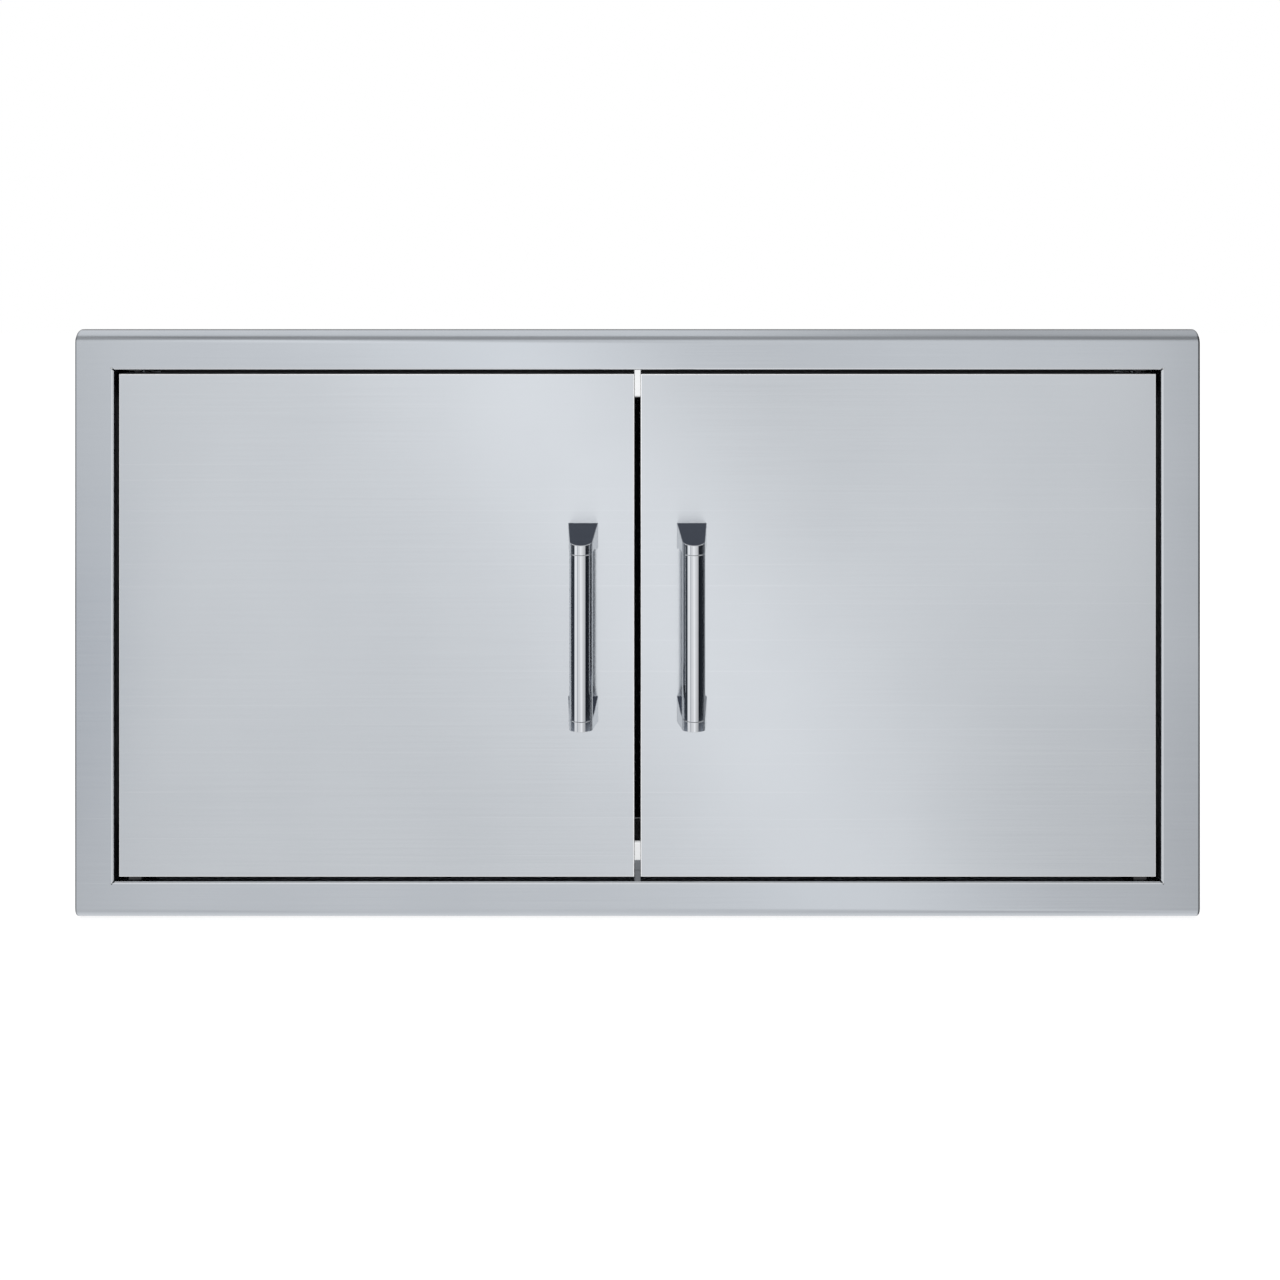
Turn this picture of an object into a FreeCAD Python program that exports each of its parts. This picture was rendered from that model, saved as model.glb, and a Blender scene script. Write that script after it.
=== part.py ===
"""Flush double access door for an outdoor kitchen island.

X runs to the right, Y into the island and Z up. The origin is the centre of the
opening in the plane where the frame's lip seats on the island's wall.
The left-hand pieces are modelled, and the right-hand ones are their mirror images.
"""
import FreeCAD, Part
import math
import os

V = FreeCAD.Vector
RIGHT, INWARD, UP = V(1, 0, 0), V(0, 1, 0), V(0, 0, 1)

# Face frame
OPENING_WIDTH = 993.0
OPENING_HEIGHT = 485.0
SIDE_BORDER = 36.9
TOP_BORDER = 38.0
FRAME_SHEET = 1.2
FRAME_INSIDE_BEND = 0.8
ROLL_RADIUS = 12.7
ROLL_FLAT = 1.6
SEAT_LIP = 12.0
LIP_NOTCH = 2.4
SLIT_WIDTH = 1.4
SLIT_PAST_BEND = 0.4

# Jambs and stop rails behind the face
JAMB_DEPTH = 50.0
JAMB_FRONT_FLANGE = 20.0
JAMB_REAR_FLANGE = 12.0
RAIL_HEIGHT = 28.0
RAIL_END_NOTCH = 36.0
SHEET_PLAY = 0.3
MOUNT_HOLE = 5.5
MOUNT_PITCH = 320.0
MOUNT_HOLE_SETBACK = 30.0

# Doors
SIDE_GAP = 5.0
CENTRE_GAP = 5.8
TOP_GAP = 3.6
BOTTOM_GAP = 4.6
DOOR_THICKNESS = 17.0
DOOR_SHEET = 1.0
DOOR_LIP = 9.0
LINER_FLANGE = 9.0
LINER_PLAY = 0.15
STOP_GAP = 2.5

# Hinge pins, bushes and the sprung pin's bracket
PIVOT_INSET = 14.0
PIVOT_SETBACK = 9.0
PIN_DIAMETER = 6.0
PIN_FIT = 0.05
PIN_PROUD = 0.6
PIN_TIP = 1.0
BUSH_WIDTH = 9.0
BUSH_RIM = 1.5
BUSH_FLANGE = 1.0
BUSH_LENGTH = 9.0
BUSH_PAST_SHEET = 1.6
BUSH_PLAY = 0.2
BRACKET_SHEET = 2.0
BRACKET_INSIDE_BEND = 1.0
BRACKET_WIDTH = 16.0
BRACKET_HEIGHT = 30.0
BRACKET_PLAY = 0.5
SPRING_LENGTH = 36.0
SPRING_WALL = 0.9
SPRING_PLAY = 0.4
TAB_WIDTH = 10.0
TAB_NECK = 5.0
TAB_SHEET = 2.5
TAB_REACH = 7.5
TAB_PAD = 2.0
TAB_PAD_HEIGHT = 9.0
TAB_DROP = 18.0
PIN_TAIL = 3.0

# Handles
HANDLE_INSET = 48.6
HANDLE_RISE = 2.9
TUBE_DIAMETER = 21.5
TUBE_WALL = 1.2
TUBE_LENGTH = 151.0
TUBE_STANDOFF = 34.5
FOOT_PAST_TUBE = 6.5
FOOT_WIDTH = 28.5
FOOT_HEIGHT = 24.5
END_SLOPE = 12.2
SPIGOT_LENGTH = 12.0
SPIGOT_RIB = 3.0
SPIGOT_PLAY = 0.1
HANDLE_SCREW = 5.0
HANDLE_SCREW_GRIP = 10.0
SCREW_HEAD = 8.0
SCREW_HEAD_HEIGHT = 3.2

# Magnetic catches, strikes and bumpers
CATCH_INSET = 56.0
STRIKE_WIDTH = 28.0
STRIKE_SHEET = 1.2
STRIKE_MARGIN = 1.2
AIR_GAP = 0.3
POLE_SHEET = 1.5
POLE_WIDTH = 24.0
POLE_PLAY = 0.2
MAGNET_DEPTH = 8.0
CATCH_WALL = 1.6
CATCH_DEPTH = 13.0
CATCH_RIM = 1.5
BUMPER_LENGTH = 14.0
BUMPER_HEIGHT = 6.0
BUMPER_PLAY = 0.3
BUMPER_HINGE_INSET = 70.0
BUMPER_FREE_INSET = 28.0

# Places worked out from the sizes above
FRAME_BEND = FRAME_INSIDE_BEND + FRAME_SHEET
FACE_Y = -(ROLL_RADIUS + ROLL_FLAT + FRAME_SHEET)
DOOR_BACK_Y = FACE_Y + DOOR_THICKNESS
LINER_BACK_Y = DOOR_BACK_Y - DOOR_SHEET
STOP_Y = DOOR_BACK_Y + STOP_GAP
SIDE_X = OPENING_WIDTH / 2
TOP_Z = OPENING_HEIGHT / 2
JAMB_X = SIDE_X + FRAME_SHEET
JAMB_Z = TOP_Z + FRAME_SHEET
RAIL_X = JAMB_X - FRAME_INSIDE_BEND
STACK = 2 * FRAME_SHEET + BUSH_PAST_SHEET
DOOR_HINGE_X = -SIDE_X + SIDE_GAP
DOOR_FREE_X = -CENTRE_GAP / 2
DOOR_TOP_Z = TOP_Z - TOP_GAP
DOOR_BOTTOM_Z = -TOP_Z + BOTTOM_GAP
DOOR_MID_Z = (DOOR_TOP_Z + DOOR_BOTTOM_Z) / 2
PIVOT = V(DOOR_HINGE_X + PIVOT_INSET, FACE_Y + PIVOT_SETBACK, 0)
PIN_RADIUS = PIN_DIAMETER / 2
PIN_TRAVEL = TOP_GAP + STACK - PIN_PROUD
TAB_Z = DOOR_TOP_Z - TAB_DROP
BRACKET_LOW_Z = TAB_Z - TAB_SHEET / 2 - SPRING_LENGTH - BRACKET_SHEET
HANDLE_X = DOOR_FREE_X - HANDLE_INSET
HANDLE_Z = DOOR_MID_Z + HANDLE_RISE
HANDLE_PITCH = TUBE_LENGTH + 2 * FOOT_PAST_TUBE
CATCH_X = -CATCH_INSET
BAND_TOP_Z = DOOR_TOP_Z - DOOR_LIP
BAND_LOW_Z = TOP_Z - RAIL_HEIGHT
CATCH_Z = (BAND_TOP_Z + BAND_LOW_Z) / 2
STRIKE_HEIGHT = BAND_TOP_Z - BAND_LOW_Z - 2 * STRIKE_MARGIN
CATCH_HEIGHT = STRIKE_HEIGHT - 2 * (FRAME_INSIDE_BEND + POLE_PLAY)
POLE_STACK = CATCH_HEIGHT - 2 * CATCH_WALL
CATCH_WIDTH = POLE_WIDTH + 2 * CATCH_WALL


def box(x0, x1, y0, y1, z0, z1):
    """Block between two corners."""
    return Part.makeBox(x1 - x0, y1 - y0, z1 - z0, V(x0, y0, z0))


def rod(radius, start, along, length):
    """Round bar of a given length from its start."""
    return Part.makeCylinder(radius, length, start, along)


def ring(outer, inner, start, along, length):
    """Round tube of a given length from its start."""
    return rod(outer, start, along, length).cut(rod(inner, start, along, length))


def bent_block(x0, x1, y0, y1, z0, z1, bend):
    """Block whose front and rear edges are rounded and meet in mitres."""
    block = box(x0, x1, y0, y1, z0, z1)
    return block.makeFillet(bend, [edge for edge in block.Edges if edge.BoundBox.YLength < bend])


def left_of(direction):
    """Unit vector a quarter turn to the left in the drawing plane."""
    return V(-direction.y, direction.x, 0).normalize()


def folded_sheet(corners, sheet, inside_bend, length):
    """Sheet folded at the inner corners of its middle line, extruded along Z."""
    points = [V(across, along, 0) for across, along in corners]
    middle_bend = inside_bend + sheet / 2
    edges, starts, ends = [], [], []
    for offset in (sheet / 2, -sheet / 2):
        here = points[0] + left_of(points[1] - points[0]) * offset
        starts.append(here)
        for before, corner, after in zip(points, points[1:], points[2:]):
            into, away = (corner - before).normalize(), (after - corner).normalize()
            side = math.copysign(1, into.cross(away).z)
            setback = middle_bend * math.tan(into.getAngle(away) / 2)
            centre = corner - into * setback + left_of(into) * side * middle_bend
            radius = middle_bend - side * offset
            first = centre - left_of(into) * side * radius
            middle = centre + (corner - centre).normalize() * radius
            last = centre - left_of(away) * side * radius
            edges.append(Part.LineSegment(here, first).toShape())
            edges.append(Part.Arc(first, middle, last).toShape())
            here = last
        end = points[-1] + left_of(points[-1] - points[-2]) * offset
        edges.append(Part.LineSegment(here, end).toShape())
        ends.append(end)
    edges.append(Part.LineSegment(*starts).toShape())
    edges.append(Part.LineSegment(*ends).toShape())
    section = Part.Face(Part.Wire(Part.__sortEdges__(edges)))
    return section.extrude(UP * length)


def laid_along_x(shape, start_x):
    """Turns a drawing in X and Y into one in Y and Z, extruded to the right."""
    turned = shape.copy()
    turned.Placement = FreeCAD.Placement(V(start_x, 0, 0), FreeCAD.Rotation(INWARD, UP, RIGHT, "XYZ"))
    return turned


def mirrored(shape):
    """The right-hand twin of a left-hand piece."""
    return shape.mirror(V(0, 0, 0), RIGHT)


def upside_down(shape):
    """The same piece mirrored top to bottom."""
    return shape.mirror(V(0, 0, 0), UP)


def group(solids):
    """Several separate solids kept as one piece list."""
    return Part.makeCompound(solids)


# Face frame: one sheet with rolled top and bottom edges and tight side bends
def rolled_block(inset):
    """Solid inside one surface of the face frame's sheet, with sharp ends."""
    half_w = SIDE_X + SIDE_BORDER - inset
    half_h = TOP_Z + TOP_BORDER - inset
    front, rear = FACE_Y + inset, -inset
    roll = ROLL_RADIUS - inset
    spring = roll * (1 - math.sqrt(0.5))
    left = -half_w
    corners = [
        V(left, rear, -half_h), V(left, front + roll, -half_h), V(left, front, roll - half_h),
        V(left, front, half_h - roll), V(left, front + roll, half_h), V(left, rear, half_h)]
    low_mid = V(left, front + spring, spring - half_h)
    top_mid = V(left, front + spring, half_h - spring)
    outline = Part.Wire([
        Part.LineSegment(corners[0], corners[1]).toShape(),
        Part.Arc(corners[1], low_mid, corners[2]).toShape(),
        Part.LineSegment(corners[2], corners[3]).toShape(),
        Part.Arc(corners[3], top_mid, corners[4]).toShape(),
        Part.LineSegment(corners[4], corners[5]).toShape(),
        Part.LineSegment(corners[5], corners[0]).toShape()])
    return Part.Face(outline).extrude(RIGHT * 2 * half_w)


def end_and_rear_edges(block):
    """Edges around both ends of the face frame's block and along its back."""
    half_w = SIDE_X + SIDE_BORDER
    found = []
    for edge in block.Edges:
        bounds = edge.BoundBox
        at_end = bounds.XLength < 1e-6 and abs(abs(bounds.XMin) - half_w) < 1e-6
        at_rear = bounds.YLength < 1e-6 and abs(bounds.YMin) < 1e-6
        if at_end or at_rear:
            found.append(edge)
    return found


def diagonal_slits(corner_x, corner_z, inward, outward, front, rear):
    """Slots at 45 degrees across the four corners of a rectangle."""
    half = SLIT_WIDTH / 2
    slot = box(-inward, outward, 0, rear - front, -half, half)
    slits = []
    for side_x, side_z in ((1, 1), (-1, 1), (-1, -1), (1, -1)):
        slit = slot.copy()
        turn = -math.degrees(math.atan2(side_z, side_x))
        corner = V(side_x * corner_x, front, side_z * corner_z)
        slit.Placement = FreeCAD.Placement(corner, FreeCAD.Rotation(INWARD, turn))
        slits.append(slit)
    return slits


def lip_corner_cuts(half_w, half_h):
    """Notches and mitre slits that let the seat lip fold at its four corners."""
    notch_x, notch_z = half_w - LIP_NOTCH, half_h - LIP_NOTCH
    past = FRAME_SHEET
    notch = box(notch_x, half_w + past, -LIP_NOTCH, past, notch_z, half_h + past)
    notches = [notch, mirrored(notch), upside_down(notch), mirrored(upside_down(notch))]
    reach = SEAT_LIP * math.sqrt(2)
    return notches + diagonal_slits(notch_x, notch_z, reach, past, -FRAME_SHEET - past, past)


def opening_edges(shape, half_w, half_h, y):
    """Straight edges of a rectangle around the opening at one depth."""
    found = []
    for edge in shape.Edges:
        bounds = edge.BoundBox
        if bounds.YLength > 1e-6 or abs(bounds.YMin - y) > 1e-6:
            continue
        level = bounds.ZLength < 1e-6 and abs(abs(bounds.ZMin) - half_h) < 1e-6
        upright = bounds.XLength < 1e-6 and abs(abs(bounds.XMin) - half_w) < 1e-6
        if (level and bounds.XLength > half_w) or (upright and bounds.ZLength > half_h):
            found.append(edge)
    return found


def make_face_frame():
    """Face sheet with its rolls, seat lip, opening returns and corner slits."""
    outer = rolled_block(0)
    shell = outer.makeFillet(FRAME_SHEET, end_and_rear_edges(outer)).cut(rolled_block(FRAME_SHEET))
    half_w, half_h = SIDE_X + SIDE_BORDER, TOP_Z + TOP_BORDER
    rear = box(SEAT_LIP - half_w, half_w - SEAT_LIP, -2 * FRAME_SHEET, FRAME_SHEET,
               SEAT_LIP - half_h, half_h - SEAT_LIP)
    returns_rear = STOP_Y - SHEET_PLAY
    collar = box(-JAMB_X, JAMB_X, FACE_Y, returns_rear, -JAMB_Z, JAMB_Z)
    opening = box(-SIDE_X, SIDE_X, FACE_Y - 1, returns_rear + 1, -TOP_Z, TOP_Z)
    sheet = shell.cut([rear] + lip_corner_cuts(half_w, half_h)).fuse(collar).cut(opening)
    reach = FRAME_BEND * math.sqrt(2) + SLIT_PAST_BEND
    sheet = sheet.cut(diagonal_slits(SIDE_X, TOP_Z, reach, reach, FACE_Y, returns_rear))
    sheet = sheet.removeSplitter()
    sheet = sheet.makeFillet(FRAME_BEND, opening_edges(sheet, SIDE_X, TOP_Z, FACE_Y))
    inner = opening_edges(sheet, JAMB_X, JAMB_Z, FACE_Y + FRAME_SHEET)
    sheet = sheet.makeFillet(FRAME_INSIDE_BEND, inner)
    return sheet.cut(bush_holes())


def square_bar(width, start, length):
    """Upright square bar around a hinge axis."""
    half = width / 2
    return box(start.x - half, start.x + half, start.y - half, start.y + half, start.z, start.z + length)


def bush_holes():
    """Square holes on both hinge axes through the sheets over the opening."""
    start = PIVOT + UP * (TOP_Z - STACK)
    hole = square_bar(BUSH_WIDTH, start, 2 * STACK)
    return [hole, mirrored(hole)]


# Jambs: folded channels behind the four returns of the opening
def jamb_section(inner):
    """Middle line of a jamb, from its front flange to its rear flange."""
    half = FRAME_SHEET / 2
    front, rear = FACE_Y + FRAME_SHEET + half, JAMB_DEPTH - half
    return [(front, inner + FRAME_SHEET + JAMB_FRONT_FLANGE), (front, inner + half),
            (rear, inner + half), (rear, inner + FRAME_SHEET - JAMB_REAR_FLANGE)]


def make_header_jamb():
    """Top channel, with the square holes for the upper bushes."""
    length = 2 * (JAMB_X + FRAME_SHEET)
    channel = folded_sheet(jamb_section(JAMB_Z), FRAME_SHEET, FRAME_INSIDE_BEND, length)
    return laid_along_x(channel, -length / 2).cut(bush_holes())


def make_sill_jamb():
    """Bottom channel under the opening."""
    length = 2 * (JAMB_X + FRAME_SHEET)
    channel = folded_sheet(jamb_section(JAMB_Z), FRAME_SHEET, FRAME_INSIDE_BEND, length)
    return upside_down(laid_along_x(channel, -length / 2))


def make_side_jamb():
    """Left channel between header and sill, with the holes for the mounting screws."""
    section = [(-across, along) for along, across in jamb_section(JAMB_X)]
    channel = folded_sheet(section, FRAME_SHEET, FRAME_INSIDE_BEND, 2 * JAMB_Z)
    channel.translate(UP * -JAMB_Z)
    corner_z = JAMB_Z + FRAME_SHEET - JAMB_REAR_FLANGE - SHEET_PLAY
    clear_y = JAMB_DEPTH - FRAME_BEND
    for low, high in ((corner_z, JAMB_Z), (-JAMB_Z, -corner_z)):
        channel = channel.cut(box(-2 * JAMB_X, 0, clear_y, 2 * JAMB_DEPTH, low, high))
    for step in (-0.5, 0.5):
        start = V(-JAMB_X - 2 * FRAME_SHEET, MOUNT_HOLE_SETBACK, step * MOUNT_PITCH)
        channel = channel.cut(rod(MOUNT_HOLE / 2, start, RIGHT, 3 * FRAME_SHEET))
    return channel


# Stop rails: channels under the header and on the sill that the doors close against
def make_stop_rail():
    """Bottom rail, with its front corners notched clear of the doors' hinge edges."""
    half = FRAME_SHEET / 2
    front, rear = STOP_Y + half, JAMB_DEPTH - FRAME_SHEET - half
    top = RAIL_HEIGHT - TOP_Z - half
    section = [(front, -JAMB_Z), (front, top), (rear, top), (rear, FRAME_INSIDE_BEND - JAMB_Z)]
    rail = folded_sheet(section, FRAME_SHEET, FRAME_INSIDE_BEND, 2 * RAIL_X)
    rail = laid_along_x(rail, -RAIL_X)
    swing = math.hypot(PIVOT_INSET, PIVOT_SETBACK)
    notch_y = PIVOT.y + swing + 2 * FRAME_SHEET
    for x0, x1 in ((-JAMB_X, RAIL_END_NOTCH - SIDE_X), (SIDE_X - RAIL_END_NOTCH, JAMB_X)):
        rail = rail.cut(box(x0, x1, FACE_Y, notch_y, -JAMB_Z, 0))
    return rail


def make_top_stop_rail():
    """Top rail, with a window for each magnetic catch."""
    rail = upside_down(make_stop_rail())
    half_w = CATCH_WIDTH / 2 + POLE_PLAY
    half_h = CATCH_HEIGHT / 2 + POLE_PLAY
    for x in (CATCH_X, -CATCH_X):
        rail = rail.cut(box(x - half_w, x + half_w, STOP_Y - 1, STOP_Y + FRAME_BEND,
                            CATCH_Z - half_h, CATCH_Z + half_h))
    return rail


# Bushes over the doors and fixed pins under them
def flanged_bush(start, body_length, flange_thickness):
    """Square bush from its top face down: body, then a wider flange, bored for the pin."""
    body = square_bar(BUSH_WIDTH, start - UP * body_length, body_length)
    low = start - UP * (body_length + flange_thickness)
    flange = square_bar(BUSH_WIDTH + 2 * BUSH_RIM, low, flange_thickness)
    bore = rod(PIN_RADIUS + PIN_FIT, low, UP, body_length + flange_thickness)
    return body.fuse(flange).cut(bore).removeSplitter()


def make_upper_bush():
    """Bush pressed up through the frame's return and the header."""
    return flanged_bush(PIVOT + UP * (TOP_Z + STACK), STACK, BUSH_FLANGE)


def make_lower_pins():
    """Studs welded on the frame's lower return, one for each door to turn on."""
    high = DOOR_BOTTOM_Z + BUSH_LENGTH
    pin = rod(PIN_RADIUS, PIVOT - UP * TOP_Z, UP, high + TOP_Z)
    pin = pin.makeChamfer(PIN_TIP, [edge for edge in pin.Edges if edge.BoundBox.ZMin > high - 1e-3])
    return group([pin, mirrored(pin)])


# Magnetic catches on the top rail
def make_catch_body():
    """Moulded body pushed through the rail's window, with a rim in front."""
    half_w, half_h = CATCH_WIDTH / 2, CATCH_HEIGHT / 2
    front, rear = STOP_Y - CATCH_RIM, STOP_Y + CATCH_DEPTH
    body = box(CATCH_X - half_w, CATCH_X + half_w, front, rear, CATCH_Z - half_h, CATCH_Z + half_h)
    half_w, half_h = half_w + CATCH_RIM, half_h + CATCH_RIM
    rim = box(CATCH_X - half_w, CATCH_X + half_w, front, STOP_Y, CATCH_Z - half_h, CATCH_Z + half_h)
    half_w, half_h = POLE_WIDTH / 2, POLE_STACK / 2
    pocket = box(CATCH_X - half_w, CATCH_X + half_w, front, rear - CATCH_WALL,
                 CATCH_Z - half_h, CATCH_Z + half_h)
    return body.fuse(rim).cut(pocket).removeSplitter()


def make_catch_poles():
    """Two steel plates that reach through the rail to the door's strike."""
    front = LINER_BACK_Y + STRIKE_SHEET + AIR_GAP
    rear = STOP_Y + CATCH_DEPTH - CATCH_WALL
    half_w, half_h = POLE_WIDTH / 2, POLE_STACK / 2
    low = box(CATCH_X - half_w, CATCH_X + half_w, front, rear,
              CATCH_Z - half_h, CATCH_Z - half_h + POLE_SHEET)
    high = low.translated(UP * (POLE_STACK - POLE_SHEET))
    return group([low, high])


def make_catch_magnet():
    """Block magnet held between the two poles."""
    rear = STOP_Y + CATCH_DEPTH - CATCH_WALL
    half_w, half_h = POLE_WIDTH / 2, POLE_STACK / 2 - POLE_SHEET
    return box(CATCH_X - half_w, CATCH_X + half_w, rear - MAGNET_DEPTH, rear,
               CATCH_Z - half_h, CATCH_Z + half_h)


def make_bumpers():
    """Rubber pads on both rails, under the lips of the doors."""
    front = STOP_Y - STOP_GAP + BUMPER_PLAY
    half_w, half_h = BUMPER_LENGTH / 2, BUMPER_HEIGHT / 2
    bumpers = []
    for x in (DOOR_HINGE_X + BUMPER_HINGE_INSET, DOOR_FREE_X - BUMPER_FREE_INSET):
        for z in (DOOR_TOP_Z - DOOR_LIP / 2, DOOR_BOTTOM_Z + DOOR_LIP / 2):
            bumpers.append(box(x - half_w, x + half_w, front, STOP_Y, z - half_h, z + half_h))
    return group(bumpers + [mirrored(bumper) for bumper in bumpers])


# Doors: a folded front skin closed by a liner
def door_sheet(inset, front, rear):
    """Folded shell of one of a door's sheets between two depths, closed all round."""
    sizes = [DOOR_HINGE_X + inset, DOOR_FREE_X - inset, front, rear,
             DOOR_BOTTOM_Z + inset, DOOR_TOP_Z - inset]
    inner = [size + DOOR_SHEET * sign for size, sign in zip(sizes, (1, -1, 1, -1, 1, -1))]
    return bent_block(*sizes, DOOR_SHEET).cut(box(*inner))


def handle_screw_spots():
    """Centres of the two handle feet."""
    return [(HANDLE_X, HANDLE_Z + step * HANDLE_PITCH) for step in (0.5, -0.5)]


def make_door_skin():
    """Front sheet with its four returns and the lips that hold the liner."""
    skin = door_sheet(0, FACE_Y, DOOR_BACK_Y)
    window = box(DOOR_HINGE_X + DOOR_LIP, DOOR_FREE_X - DOOR_LIP, LINER_BACK_Y - 1, DOOR_BACK_Y + 1,
                 DOOR_BOTTOM_Z + DOOR_LIP, DOOR_TOP_Z - DOOR_LIP)
    upper = rod(PIN_RADIUS + PIN_FIT, PIVOT + UP * (DOOR_TOP_Z - 2 * DOOR_SHEET), UP, 3 * DOOR_SHEET)
    lower = square_bar(BUSH_WIDTH, PIVOT + UP * (DOOR_BOTTOM_Z - DOOR_SHEET), 3 * DOOR_SHEET)
    screws = [rod(HANDLE_SCREW / 2, V(x, FACE_Y - 1, z), INWARD, 1 + 2 * DOOR_SHEET)
              for x, z in handle_screw_spots()]
    return skin.cut([window, upper, lower] + screws)


def make_door_liner():
    """Back sheet set inside the lips, its edges folded forward."""
    inset = DOOR_SHEET + LINER_PLAY
    front = LINER_BACK_Y - LINER_FLANGE
    liner = door_sheet(inset, front - 2 * DOOR_SHEET, LINER_BACK_Y)
    ahead = box(DOOR_HINGE_X, DOOR_FREE_X, front - 3 * DOOR_SHEET, front, DOOR_BOTTOM_Z, DOOR_TOP_Z)
    half_w = BRACKET_WIDTH / 2 + BRACKET_PLAY
    clear_y = LINER_BACK_Y - DOOR_SHEET
    notches = [box(PIVOT.x - half_w, PIVOT.x + half_w, front - DOOR_SHEET, clear_y, low, low + 2 * inset)
               for low in (DOOR_BOTTOM_Z, DOOR_TOP_Z - 2 * inset)]
    return liner.cut([ahead, tab_slot()] + notches)


def tab_slot():
    """Slot in the liner that the release tab travels in."""
    half_w = TAB_NECK / 2 + BRACKET_PLAY
    high = TAB_Z + TAB_SHEET / 2 + BRACKET_PLAY
    low = TAB_Z - TAB_SHEET / 2 - PIN_TRAVEL - BRACKET_PLAY
    return box(PIVOT.x - half_w, PIVOT.x + half_w, LINER_BACK_Y - 2 * DOOR_SHEET, LINER_BACK_Y + DOOR_SHEET,
               low, high)


# Strikes on the doors' backs
def make_strike_plate():
    """Steel plate welded to the liner, which the catch holds."""
    half_w, half_h = STRIKE_WIDTH / 2, STRIKE_HEIGHT / 2
    return box(CATCH_X - half_w, CATCH_X + half_w, LINER_BACK_Y, LINER_BACK_Y + STRIKE_SHEET,
               CATCH_Z - half_h, CATCH_Z + half_h)


# Bar handle: a tube between two cast mounts
def mount_plan():
    """Plan outline of a mount: straight flanks from the foot, tangent to the tube."""
    radius = TUBE_DIAMETER / 2
    half_foot = FOOT_WIDTH / 2
    to_axis = math.hypot(half_foot, TUBE_STANDOFF)
    lean = math.asin(radius / to_axis) - math.atan2(half_foot, TUBE_STANDOFF)
    flank = math.sqrt(to_axis ** 2 - radius ** 2)
    touch_x = half_foot + flank * math.sin(lean)
    touch_y = FACE_Y - flank * math.cos(lean)
    foot_left, foot_right = V(HANDLE_X - half_foot, FACE_Y, 0), V(HANDLE_X + half_foot, FACE_Y, 0)
    touch_left, touch_right = V(HANDLE_X - touch_x, touch_y, 0), V(HANDLE_X + touch_x, touch_y, 0)
    nose = V(HANDLE_X, FACE_Y - TUBE_STANDOFF - radius, 0)
    return Part.Face(Part.Wire([
        Part.LineSegment(foot_right, foot_left).toShape(),
        Part.LineSegment(foot_left, touch_left).toShape(),
        Part.Arc(touch_left, nose, touch_right).toShape(),
        Part.LineSegment(touch_right, foot_right).toShape()]))


def mount_side():
    """Side outline of the upper mount: sloped end, seam to the tube, flared foot."""
    centre = HANDLE_Z + HANDLE_PITCH / 2
    seam = HANDLE_Z + TUBE_LENGTH / 2
    reach = TUBE_STANDOFF + TUBE_DIAMETER
    drop = reach * math.tan(math.radians(END_SLOPE))
    tube_back = FACE_Y - TUBE_STANDOFF + TUBE_DIAMETER / 2
    outer, inner = centre + FOOT_HEIGHT / 2, centre - FOOT_HEIGHT / 2
    left = HANDLE_X - FOOT_WIDTH
    return Part.Face(Part.makePolygon([
        V(left, FACE_Y, outer), V(left, FACE_Y - reach, outer - drop), V(left, FACE_Y - reach, seam),
        V(left, tube_back, seam), V(left, FACE_Y, inner), V(left, FACE_Y, outer)]))


def make_upper_mount():
    """Upper mount, with the ribbed spigot for the tube and the screw's blind hole."""
    seam = HANDLE_Z + TUBE_LENGTH / 2
    plan = mount_plan().extrude(UP * HANDLE_PITCH)
    plan.translate(UP * (HANDLE_Z + HANDLE_PITCH / 4))
    body = plan.common(mount_side().extrude(RIGHT * 2 * FOOT_WIDTH))
    half_rib = SPIGOT_RIB / 2
    reach = math.sqrt((TUBE_DIAMETER / 2 - TUBE_WALL - SPIGOT_PLAY) ** 2 - half_rib ** 2)
    axis_y = FACE_Y - TUBE_STANDOFF
    ribs = [box(HANDLE_X - half_x, HANDLE_X + half_x, axis_y - half_y, axis_y + half_y,
                seam - SPIGOT_LENGTH, seam) for half_x, half_y in ((reach, half_rib), (half_rib, reach))]
    x, z = handle_screw_spots()[0]
    hole = rod(HANDLE_SCREW / 2, V(x, FACE_Y, z), -INWARD, HANDLE_SCREW_GRIP + 1)
    return body.fuse(ribs).cut(hole).removeSplitter()


def make_lower_mount():
    """Lower mount, the upper one turned top to bottom."""
    return make_upper_mount().mirror(V(0, 0, HANDLE_Z), UP)


def make_handle_tube():
    """Straight tube that fits over the spigots of both mounts."""
    start = V(HANDLE_X, FACE_Y - TUBE_STANDOFF, HANDLE_Z - TUBE_LENGTH / 2)
    radius = TUBE_DIAMETER / 2
    return ring(radius, radius - TUBE_WALL, start, UP, TUBE_LENGTH)


def make_handle_screws():
    """Hexagon screws from inside the door into the mounts."""
    head_y = FACE_Y + DOOR_SHEET
    screws = []
    for x, z in handle_screw_spots():
        centre = V(x, head_y, z)
        shank = rod(HANDLE_SCREW / 2, centre, -INWARD, head_y - FACE_Y + HANDLE_SCREW_GRIP)
        head = Part.Face(hexagon(centre, SCREW_HEAD)).extrude(INWARD * SCREW_HEAD_HEIGHT)
        screws.append(shank.fuse(head))
    return group(screws)


def hexagon(centre, across_flats):
    """Hexagonal outline in a plane that faces forward."""
    radius = across_flats / math.sqrt(3)
    angles = [math.radians(60 * step) for step in range(7)]
    return Part.makePolygon([centre + V(radius * math.cos(a), 0, radius * math.sin(a)) for a in angles])


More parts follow.
